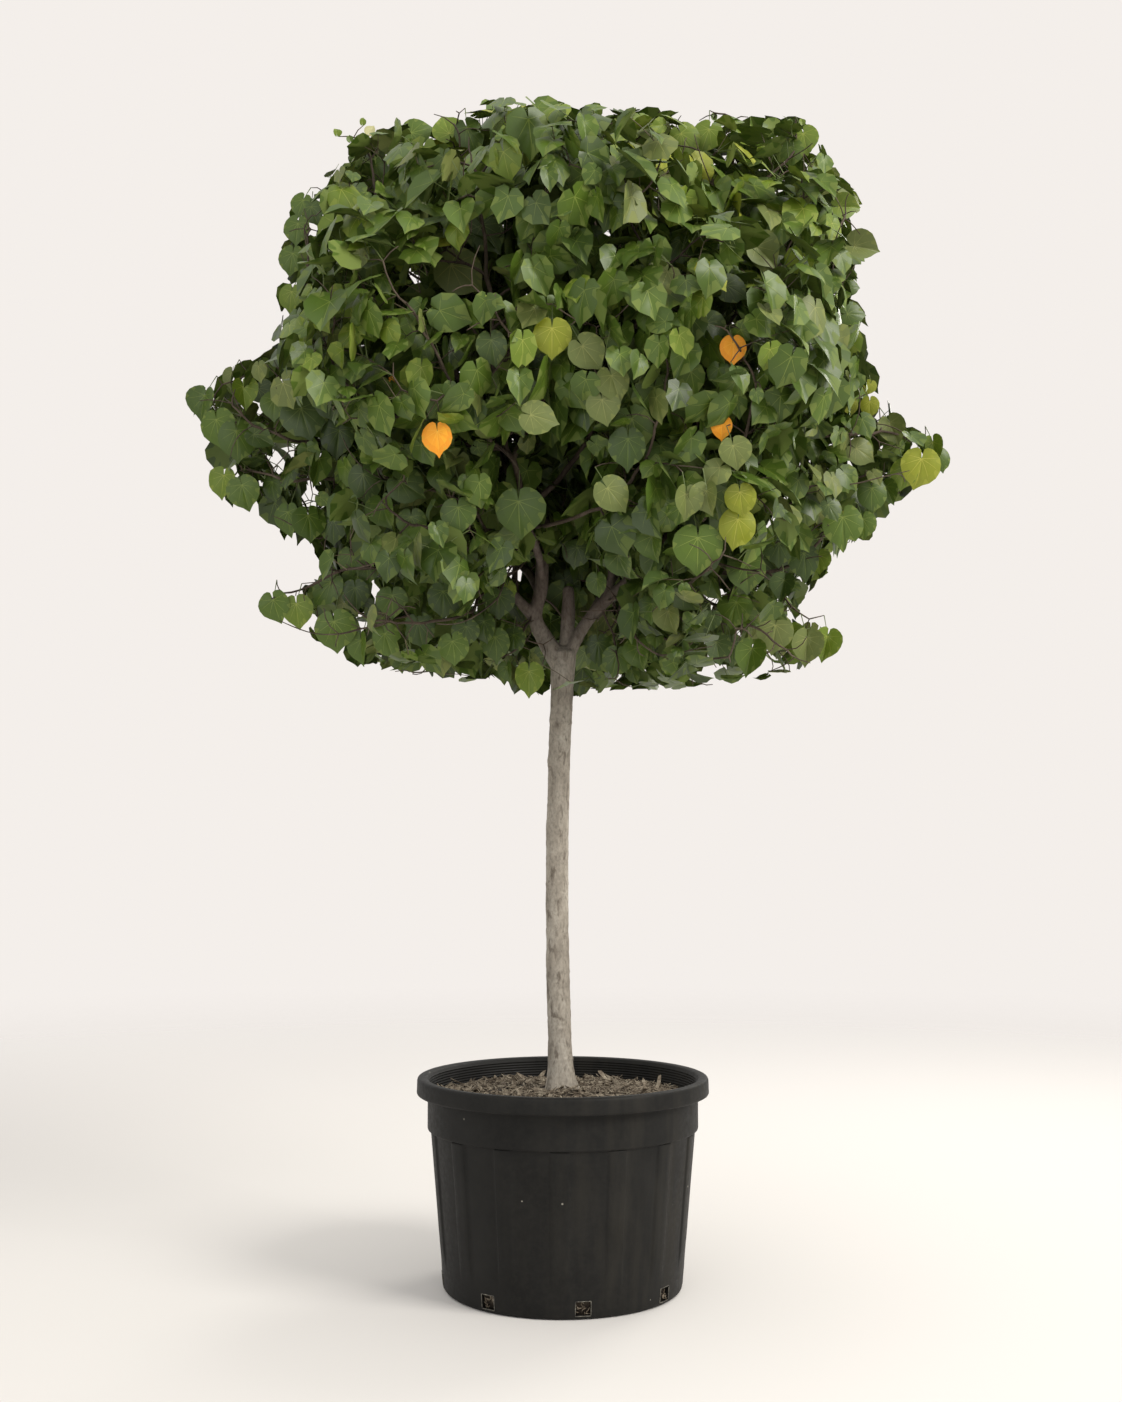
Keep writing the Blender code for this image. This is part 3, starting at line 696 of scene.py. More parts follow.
def make_chips(mat, pale):
    rng = np.random.RandomState(31)
    b = Build()
    count = 2300
    for i in range(count):
        r = 0.262 * math.sqrt(rng.uniform(0.015, 1.0))
        a = rng.uniform(0, 2 * math.pi)
        x, y = r * math.cos(a), r * math.sin(a)
        if math.hypot(x + 0.003, y) < 0.040:
            continue
        z = float(soil_height(np.array([x]), np.array([y]))[0])
        kind = rng.uniform()
        if kind < 0.62:
            length, width, thick = rng.uniform(0.010, 0.030), rng.uniform(0.004, 0.012), rng.uniform(0.0012, 0.0036)
        elif kind < 0.93:
            length, width, thick = rng.uniform(0.016, 0.046), rng.uniform(0.0016, 0.0034), rng.uniform(0.0010, 0.0022)
        else:
            length, width, thick = rng.uniform(0.030, 0.055), rng.uniform(0.008, 0.016), rng.uniform(0.0015, 0.003)
        limit = 0.268 - r
        length = min(length, 2 * limit + 0.012)
        co, faces = chip_shape(rng, length, width, thick)
        tilt = rng.normal(0, 0.30)
        turn = euler(rng.normal(0, 0.35), tilt, rng.uniform(0, 2 * math.pi))
        co = co @ turn.T + [x, y, z + 0.0012 + abs(tilt) * length * 0.22]
        b.put(co, faces, 1 if rng.uniform() < 0.30 else 0)
    # crumbs and roots showing in the drain holes
    for k in range(DRAINS):
        a0 = math.radians(DRAIN_FIRST + 360 / DRAINS * k)
        for _ in range(16):
            z = rng.uniform(DRAIN_LOW + 0.002, DRAIN_HIGH - 0.002)
            a = a0 + rng.uniform(-0.8, 0.8) * DRAIN_WIDTH / 2 / FOOT_RADIUS
            r = 0.2362 + 0.0045 * rng.uniform()
            co, faces = chip_shape(rng, rng.uniform(0.006, 0.014), rng.uniform(0.0012, 0.0035), 0.0012)
            turn = euler(rng.uniform(-0.5, 0.5), rng.uniform(0, 3.1), 0)
            face = euler(0, 0, a)
            co = (co @ turn.T) @ face.T + [r * math.sin(a), -r * math.cos(a), z]
            b.put(co, faces, 1 if rng.uniform() < 0.45 else 0)
    # a few fine twigs lying across
    for _ in range(46):
        r, a = 0.235 * math.sqrt(rng.uniform()), rng.uniform(0, 2 * math.pi)
        d = rng.uniform(0, 2 * math.pi)
        length = rng.uniform(0.03, 0.085)
        pts = []
        for s in np.linspace(-0.5, 0.5, 5):
            x = r * math.cos(a) + math.cos(d) * s * length + rng.normal(0, 0.0012)
            y = r * math.sin(a) + math.sin(d) * s * length + rng.normal(0, 0.0012)
            if math.hypot(x, y) > 0.262:
                x, y = x * 0.262 / math.hypot(x, y), y * 0.262 / math.hypot(x, y)
            pts.append((x, y, float(soil_height(np.array([x]), np.array([y]))[0]) + 0.003 + rng.uniform(0, 0.003)))
        co, faces = tube_mesh(pts, np.linspace(0.0013, 0.0008, 5) * rng.uniform(0.8, 1.5), 5)
        b.put(co, faces, 1 if rng.uniform() < 0.5 else 0)
    return b.make("bark_mix_chips", [mat, pale], smooth=False)


# ------------------------------------------------------------ stem, boughs --
def trunk_axis(z):
    u = (z - SOIL_MOUND_Z) / (FORK_Z - SOIL_MOUND_Z)
    return np.array([FOOT_X * (1 - u) + 0.002 * u - TRUNK_BOW * math.sin(math.pi * u),
                     TRUNK_BOW_BACK * math.sin(math.pi * u * 1.15), z])


def trunk_radius(z):
    u = (z - SOIL_MOUND_Z) / (FORK_Z - SOIL_MOUND_Z)
    r = TRUNK_R + 0.0012 * max(0.0, 1 - u / 0.4)
    r += FLARE_R * math.exp(-max(z - SOIL_MOUND_Z, 0) / (FLARE_H * 0.55))
    return r + 0.0030 * max(0.0, (u - 0.86) / 0.14) ** 1.5


def axis_at(parent, z):
    if parent == "trunk":
        return trunk_axis(z)
    path, _ = bough_path(parent)
    for a, b in zip(path, path[1:]):
        if a[2] <= z <= b[2]:
            return a + (b - a) * (z - a[2]) / (b[2] - a[2])
    return path[-1]


def bough_path(name):
    """The whole axis of a bough, on into the foliage, with its radii."""
    parent, start, points, r0, r1 = BOUGHS[name]
    pts = [axis_at(parent, start)] + [np.array(p) for p in points]
    length = sum(np.linalg.norm(b - a) for a, b in zip(pts, pts[1:]))
    count = max(8, int(length / 0.016))
    path = catmull(pts, count)
    t = np.linspace(0, 1, count)
    radii = r0 + (r1 - r0) * t ** 0.75 + 0.0010 * np.sin(9 * t + 2 * len(name))
    return path, radii


def make_stem(mat, extra):
    """Stem and boughs as one skin: tubes joined, skinned over, then given the bark's relief."""
    bm_build = Build()
    zs = np.concatenate([[0.372], np.linspace(SOIL_MOUND_Z, FORK_Z, 60)])
    path = [trunk_axis(z) for z in zs] + [trunk_axis(FORK_Z) + [0, 0, 0.012]]
    radii = [trunk_radius(z) for z in zs] + [0.014]
    co, faces = tube_mesh(path, radii, 32)
    # low buttresses at the foot
    h = co[:, 2] - SOIL_MOUND_Z
    axis = np.array([trunk_axis(z) for z in co[:, 2]])
    d = co - axis
    a = np.arctan2(d[:, 1], d[:, 0])
    k = 1 + 0.10 * np.exp(-np.clip(h, 0, None) / 0.03) * np.cos(3 * a + 0.8)
    k += 0.05 * np.exp(-np.clip(h, 0, None) / 0.02) * np.cos(7 * a + 2.0)
    co[:, 0] = axis[:, 0] + d[:, 0] * k
    co[:, 1] = axis[:, 1] + d[:, 1] * k
    bm_build.put(co, faces)
    for name in BOUGHS:
        path, radii = bough_path(name)
        if name.endswith("stub"):
            up = unit(path[-1] - path[-2])
            path = np.concatenate([path, [path[-1] + up * 0.005, path[-1] + up * 0.008]])
            radii = np.concatenate([radii, [radii[-1] * 0.86, radii[-1] * 0.55]])
        bm_build.put(*tube_mesh(path, radii, 20))
    for path, radii in extra:
        bm_build.put(*tube_mesh(path, radii, 14))
    obj = bm_build.make("stem_and_boughs", [mat])
    remesh = obj.modifiers.new("skin", "REMESH")
    remesh.mode = "VOXEL"
    remesh.voxel_size = 0.00225
    remesh.use_smooth_shade = True
    deps = bpy.context.evaluated_depsgraph_get()
    mesh = bpy.data.meshes.new_from_object(obj.evaluated_get(deps))
    obj.modifiers.clear()
    old = obj.data
    obj.data = mesh
    bpy.data.meshes.remove(old)
    bm = bmesh.new()
    bm.from_mesh(mesh)
    for _ in range(5):      # the crotches fill in, as they do where limbs thicken
        bmesh.ops.smooth_vert(bm, verts=bm.verts, factor=0.5, use_axis_x=True, use_axis_y=True, use_axis_z=True)
    bm.normal_update()
    co = np.array([v.co for v in bm.verts])
    no = np.array([v.normal for v in bm.verts])
    z = co[:, 2]
    stem = np.clip((1.40 - z) / 0.12, 0.35, 1.0)
    relief = (0.00085 * grain(co, (26, 26, 14), 41) + 0.00055 * grain(co, (85, 85, 38), 42)
              + 0.00050 * grain(co, (210, 210, 95), 43))
    fissure = np.abs(grain(co, (120, 120, 26), 44))
    relief -= 0.00055 * np.clip(0.22 - fissure, 0, None) / 0.22
    relief = relief * stem
    axis = np.array([trunk_axis(min(v, FORK_Z)) for v in z])
    rel = co - axis
    az = np.arctan2(rel[:, 0], -rel[:, 1])          # 0 faces the front, positive to the right
    on_stem = z < FORK_Z
    for zc, ac, hz, ha, depth in SCARS:
        da = np.abs((az - math.radians(ac) + math.pi) % (2 * math.pi) - math.pi)
        g = np.exp(-((z - zc) / hz) ** 2 - (da / math.radians(ha)) ** 2)
        ring = np.exp(-((np.sqrt(((z - zc) / hz) ** 2 + (da / math.radians(ha)) ** 2) - 1.25) / 0.45) ** 2)
        relief += on_stem * (depth * g + (0.0008 * ring if depth < 0 else 0))
    for zc, hz, depth, phase in CREASES:            # old leaf and bud rings
        line = zc + 0.0025 * np.sin(az + phase) + 0.0012 * np.sin(3 * az + phase)
        relief += on_stem * depth * np.exp(-((z - line) / hz) ** 2) * (0.55 + 0.45 * np.sin(az * 1.0 + phase * 2))
    co = co + no * relief[:, None]
    for v, c in zip(bm.verts, co):
        v.co = c
    bm.to_mesh(mesh)
    bm.free()
    mesh.materials.clear()
    mesh.materials.append(mat)
    mesh.shade_smooth()
    return obj


# scars on the stem: height, degrees from the front (+ right), half height, half angle, depth (- is sunk)
SCARS = [
    (0.905, 16, 0.0085, 13, -0.0026), (0.968, 2, 0.0045, 12, -0.0014), (1.155, -62, 0.011, 22, 0.0030),
    (1.066, -66, 0.010, 20, 0.0028), (0.713, -64, 0.012, 22, 0.0024), (0.795, 32, 0.004, 14, -0.0012),
    (0.521, 14, 0.005, 20, -0.0012), (0.708, 58, 0.004, 9, -0.0014), (0.570, 62, 0.004, 9, -0.0014),
    (1.205, 150, 0.010, 18, 0.0026), (0.840, 170, 0.008, 12, -0.0022), (0.640, -150, 0.010, 18, 0.0024),
    (1.010, 110, 0.006, 11, -0.0018), (0.480, -40, 0.014, 20, 0.0016), (1.235, 30, 0.010, 16, 0.0016),
]
CREASES = [(0.452, 0.0030, 0.0010, 0.4), (0.535, 0.0028, -0.0009, 1.9), (0.632, 0.0030, 0.0009, 3.1),
           (0.721, 0.0026, -0.0008, 4.4), (0.812, 0.0030, 0.0010, 0.9), (0.884, 0.0026, -0.0007, 2.2),
           (0.975, 0.0030, 0.0009, 5.0), (1.058, 0.0028, 0.0008, 1.2), (1.149, 0.0030, 0.0010, 3.6),
           (1.222, 0.0028, -0.0008, 2.7)]


# ------------------------------------------------------- shape of the crown --
def reach(half, d):
    return (np.abs(d / np.array(half)) ** BOXY).sum(-1) ** (-1 / BOXY)


def lobes(seed):
    rng = np.random.RandomState(400 + seed)
    out = []
    for _ in range(15):
        v = rng.normal(size=3)
        v /= np.linalg.norm(v)
        out.append((v, rng.uniform(0.26, 0.50), rng.uniform(-0.22, 0.15)))
    return out


def mass_planes(name):
    centre, half, _ = MASSES[name]
    planes = []
    for other, (oc, oh, _) in MASSES.items():
        if other == name:
            continue
        d = np.array(oc) - np.array(centre)
        dist = np.linalg.norm(d)
        d = d / dist
        mine, theirs = float(reach(half, d)), float(reach(oh, d))
        planes.append((d, dist * mine / (mine + theirs) - MASS_GAP / 2))
    return planes


LOBES = {name: lobes(MASSES[name][2]) for name in MASSES}
PLANES = {name: mass_planes(name) for name in MASSES}


def mass_radius(name, d, seams=True):
    _, half, _ = MASSES[name]
    k = np.ones(len(d))
    for axis, width, height in LOBES[name]:
        k += height * np.exp(-((1 - d @ axis) / width ** 2))
    r = reach(half, d) * np.clip(k, 0.76, 1.10)
    if seams:
        for normal, offset in PLANES[name]:
            along = d @ normal
            r = np.where(along > 1e-6, np.minimum(r, offset / np.maximum(along, 1e-6)), r)
    return r


class Crown:
    """How deep a point lies inside the crown, on a grid over the joined masses."""

    STEP = 0.025

    def __init__(self):
        s = self.STEP
        self.low = np.array([-0.95, -0.75, 1.10])
        shape = np.array([76, 70, 60])
        axes = [self.low[k] + s * np.arange(shape[k]) for k in range(3)]
        grid = np.stack(np.meshgrid(*axes, indexing="ij"), -1)
        solid = np.zeros(shape, bool)
        for name, (centre, half, _) in MASSES.items():
            lo = [max(int((centre[k] - half[k] * 1.2 - self.low[k]) / s) - 1, 0) for k in range(3)]
            hi = [min(int((centre[k] + half[k] * 1.2 - self.low[k]) / s) + 2, shape[k]) for k in range(3)]
            cut = tuple(slice(a, b) for a, b in zip(lo, hi))
            p = (grid[cut] - np.array(centre)).reshape(-1, 3)
            dist = np.linalg.norm(p, axis=1)
            d = p / np.maximum(dist, 1e-9)[:, None]
            inside = dist < mass_radius(name, d) + 0.016
            solid[cut] |= inside.reshape(grid[cut].shape[:3])
        self.solid = solid
        inner = self._layers(solid)
        outer = self._layers(~solid)
        depth = np.where(solid, inner - 0.5, -(outer - 0.5)) * s * 1.08
        for _ in range(2):
            depth = self._blur(depth)
        self.depth_grid = depth
        self.grad = np.stack(np.gradient(self._blur(self._blur(depth)), s), -1)

    @staticmethod
    def _shift(a, axis, by, fill):
        out = np.full_like(a, fill)
        src = [slice(None)] * 3
        dst = [slice(None)] * 3
        src[axis] = slice(None, -1) if by > 0 else slice(1, None)
        dst[axis] = slice(1, None) if by > 0 else slice(None, -1)
        out[tuple(dst)] = a[tuple(src)]
        return out

    def _layers(self, solid):
        count = np.zeros(solid.shape)
        cur = solid.copy()
        turn = 0
        while cur.any() and turn < 60:
            count += cur
            nxt = cur.copy()
            for axis in range(3):
                for by in (1, -1):
                    nxt &= self._shift(cur, axis, by, False)
            if turn % 2:
                for a1, a2 in ((0, 1), (0, 2), (1, 2)):
                    for b1 in (1, -1):
                        one = self._shift(cur, a1, b1, False)
                        for b2 in (1, -1):
                            nxt &= self._shift(one, a2, b2, False)
            cur = nxt
            turn += 1
        return count

    def _blur(self, a):
        for axis in range(3):
            up = np.roll(a, 1, axis)
            dn = np.roll(a, -1, axis)
            a = 0.5 * a + 0.25 * (up + dn)
        return a

    def _look(self, field, p):
        q = (np.atleast_2d(p) - self.low) / self.STEP
        top = np.array(field.shape[:3]) - 2
        i = np.clip(np.floor(q).astype(int), 0, top)
        f = np.clip(q - i, 0, 1)
        out = 0.0
        for dx in (0, 1):
            for dy in (0, 1):
                for dz in (0, 1):
                    w = ((f[:, 0] if dx else 1 - f[:, 0]) * (f[:, 1] if dy else 1 - f[:, 1])
                         * (f[:, 2] if dz else 1 - f[:, 2]))
                    v = field[i[:, 0] + dx, i[:, 1] + dy, i[:, 2] + dz]
                    out = out + (w[:, None] * v if v.ndim > 1 else w * v)
        return out

    def depth(self, p):
        return self._look(self.depth_grid, p)

    def outward(self, p):
        p = np.atleast_2d(p)
        g = -self._look(self.grad, p)
        g = g / np.maximum(np.linalg.norm(g, axis=1, keepdims=True), 1e-6)
        mid = (p - [0.0, 0.0, 1.80]) / [0.62, 0.62, 0.62]
        g = g + 0.55 * mid
        return g / np.maximum(np.linalg.norm(g, axis=1, keepdims=True), 1e-6)


# outline of the crown seen from the front, in the picture's pixels: height: left, right
OUTLINE = [(100, 500, 530), (107, 430, 620), (114, 402, 760), (122, 398, 800), (135, 345, 818), (155, 350, 822),
           (179, 330, 838), (192, 312, 852), (205, 290, 865), (227, 281, 850), (240, 281, 880), (254, 276, 868),
           (275, 280, 856), (299, 281, 852), (323, 279, 870), (347, 280, 858), (371, 226, 868), (383, 215, 874),
           (395, 190, 884), (407, 186, 884), (419, 189, 895), (431, 203, 902), (443, 208, 939), (455, 215, 948),
           (467, 220, 943), (479, 210, 932), (491, 210, 926), (503, 216, 898), (515, 262, 870), (527, 278, 868),
           (539, 284, 866), (551, 320, 846), (563, 326, 828), (575, 318, 822), (587, 304, 812), (599, 266, 800),
           (611, 266, 796), (623, 276, 812), (635, 312, 832), (647, 320, 836), (659, 352, 830), (671, 358, 806),
           (684, 505, 742), (697, 515, 575)]
OUT_Y = np.array([row[0] for row in OUTLINE], float)
OUT_L = np.array([row[1] for row in OUTLINE], float)
OUT_R = np.array([row[2] for row in OUTLINE], float)


def past_outline(px):
    """How many pixels points lie outside the outline sideways; 99 above or below it."""
    left = np.interp(px[:, 1], OUT_Y, OUT_L)
    right = np.interp(px[:, 1], OUT_Y, OUT_R)
    out = np.maximum(left - px[:, 0], px[:, 0] - right)
    out = np.where((px[:, 1] < OUT_Y[0] - 3) | (px[:, 1] > OUT_Y[-1] + 3), 99.0, out)
    return out


# --------------------------------------------------------------- branching --
TIP_SPACE = 0.066        # between leafy shoot ends in the outer shell


def shoot_ends(crown, rng):
    """Where leafy shoots end: close in the outer shell of the crown, sparse inside."""
    s = crown.STEP
    cells = np.argwhere(crown.depth_grid > 0.012)
    take = rng.randint(0, len(cells), 26000)
    p = crown.low + (cells[take] + rng.uniform(-0.5, 0.5, (len(take), 3))) * s
    depth = crown.depth(p)
    chance = np.where(depth > 0.015, np.exp(-np.clip(depth - 0.05, 0, None) / 0.085) + 0.05, 0.0)
    keep = rng.uniform(size=len(p)) < chance
    p, depth = p[keep], depth[keep]
    keep = past_outline(project(p)) < -4
    p, depth = p[keep], depth[keep]
    # more near the picture's plane, wherever the outline stands out past the masses
    py = rng.uniform(105, 690, 6000)
    px = rng.uniform(190, 945, 6000)
    extra = np.array([unproject(a, b, c) for a, b, c in zip(px, py, rng.normal(0, 0.07, 6000))])
    d2 = crown.depth(extra)
    ok = (past_outline(project(extra)) < -9) & (d2 < 0.015) & (d2 > -0.10) & (np.abs(extra[:, 1]) < 0.2)
    p = np.concatenate([p, extra[ok]])
    depth = np.concatenate([depth, np.zeros(ok.sum())])
    chosen = np.zeros((0, 3))
    gaps = np.zeros(0)
    for q, dq in zip(p, depth):
        space = TIP_SPACE * (1.0 + 1.6 * max(dq - 0.10, 0) / 0.2)
        if len(chosen):
            near = ((chosen - q) ** 2).sum(1)
            if near.min() < space * space:
                continue
        chosen = np.concatenate([chosen, [q]])
        gaps = np.append(gaps, space)
    return chosen


class Branches:
    """Twigs that grow from the boughs towards the shoot ends, a step at a time."""

    STEP = 0.026

    def __init__(self):
        self.pos, self.parent, self.root_r = [], [], []

    def add(self, p, parent, root_r=0.0):
        self.pos.append(np.array(p, float))
        self.parent.append(parent)
        self.root_r.append(root_r)
        return len(self.pos) - 1

    def grow(self, ends, rng, rounds=170):
        step = self.STEP
        active = np.ones(len(ends), bool)
        near = np.full(len(ends), -1)
        best = np.full(len(ends), 1e9)
        pos = np.array(self.pos)
        fresh = np.arange(len(pos))
        self.end_node = np.full(len(ends), -1)
        tries = np.zeros(len(ends), int)
        for _ in range(rounds):
            if len(fresh):
                d = np.linalg.norm(ends[:, None, :] - pos[fresh][None], axis=2)
                j = d.argmin(1)
                dm = d[np.arange(len(ends)), j]
                better = (dm < best - 1e-9) & active
                near[better] = fresh[j[better]]
                best[better] = dm[better]
            reached = active & (best < step * 1.15)
            for e in np.where(reached)[0]:
                self.end_node[e] = self.add(ends[e], int(near[e]))
            active &= ~reached
            if reached.any():
                pos = np.array(self.pos)
            if not active.any():
                break
            new = []
            for n in np.unique(near[active]):
                mine = np.where(active & (near == n))[0]
                to = ends[mine] - pos[n]
                dist = np.linalg.norm(to, axis=1)
                w = 1.0 / (0.08 + dist)
                pull = unit((to / dist[:, None] * w[:, None]).sum(0))
                back = self.parent[n]
                ahead = unit(pos[n] - pos[back]) if back >= 0 else pull
                way = unit(pull * 0.72 + ahead * 0.34 + rng.normal(0, 0.11, 3))
                if float(way @ pull) < 0.05:
                    way = pull
                q = pos[n] + way * step
                if len(new) and min(np.linalg.norm(q - x) for x, _, _ in new[-6:]) < step * 0.4:
                    pass
                new.append((q, int(n), mine))
            fresh_list = []
            for q, n, mine in new:
                gain = best[mine] - np.linalg.norm(ends[mine] - q, axis=1)
                if gain.max() < 0.15 * step:       # it would only hover: give the end up to a straight run
                    e = mine[best[mine].argmin()]
                    tries[e] += 1
                    q = pos[n] + unit(ends[e] - pos[n]) * step
                fresh_list.append(self.add(q, n))
            pos = np.array(self.pos)
            fresh = np.array(fresh_list, int)

    def finish(self, tip_r=0.00115, power=2.35):
        n = len(self.pos)
        pos = np.array(self.pos)
        parent = np.array(self.parent)
        kids = [[] for _ in range(n)]
        for i in range(n):
            if parent[i] >= 0:
                kids[parent[i]].append(i)
        fixed = np.array([r > 0 for r in self.root_r])
        for _ in range(3):
            new = pos.copy()
            for i in range(n):
                if fixed[i] or parent[i] < 0 or not kids[i]:
                    continue
                mean = pos[kids[i]].mean(0)
                new[i] = 0.5 * pos[i] + 0.25 * (pos[parent[i]] + mean)
            pos = new
        order = sorted(range(n), key=lambda i: self._rank(i, parent))
        r = np.zeros(n)
        load = np.zeros(n)
        for i in reversed(order):
            load[i] = max(load[i], tip_r ** power)
            if parent[i] >= 0:
                load[parent[i]] += load[i]
        r = load ** (1 / power)
        r = np.where(fixed, np.maximum(np.array(self.root_r), r * 0.0), r)
        for i in order:     # nothing is thicker than what bears it
            if parent[i] >= 0:
                r[i] = min(r[i], r[parent[i]] * (0.98 if not fixed[i] else 1.0))
        self.P, self.R, self.K, self.par, self.fixed = pos, r, kids, parent, fixed
        return self

    def _rank(self, i, parent):
        if not hasattr(self, "_depths"):
            self._depths = {}
        chain = []
        j = i
        while j >= 0 and j not in self._depths:
            chain.append(j)
            j = parent[j]
        base = self._depths[j] if j >= 0 else -1
        for c in reversed(chain):
            base += 1
            self._depths[c] = base
        return self._depths[i]

    def chains(self):
        """Runs of nodes, each from its parent's node on along the thickest child."""
        starts = [i for i in range(len(self.P)) if self.fixed[i] and any(not self.fixed[k] for k in self.K[i])]
        todo = []
        for i in starts:
            for k in self.K[i]:
                if not self.fixed[k]:
                    todo.append((i, k))
        out = []
        while todo:
            base, k = todo.pop()
            run = [base, k]
            while True:
                ks = [c for c in self.K[run[-1]] if not self.fixed[c]]
                if not ks:
                    break
                ks.sort(key=lambda c: -self.R[c])
                run.append(ks[0])
                for c in ks[1:]:
                    todo.append((run[-2], c))
            out.append(run)
        return out


# ------------------------------------------------------------------ leaves --
# one half of a heart-shaped blade: degrees from the tip, distance from the stalk
BLADE = [(0, 1.0), (3, 0.925), (6, 0.870), (10, 0.825), (14, 0.800), (28, 0.755), (44, 0.705), (62, 0.645), (80, 0.580),
         (99, 0.515), (119, 0.455), (139, 0.410), (157, 0.372), (171, 0.300), (178, 0.190)]
RAYS = {
    "fine": ([0, 5, 13, 27, 44, 62, 80, 99, 119, 140, 158, 172], [0, 3, 5, 7, 9], (0.36, 0.70, 1.0)),
    "coarse": ([0, 9, 36, 68, 106, 145, 171], [0, 2, 4], (0.52, 1.0)),
}
# roles of the faces, coloured by the leaf's class
INNER, OUTER, PATCH, UNDER, VEIN = range(5)


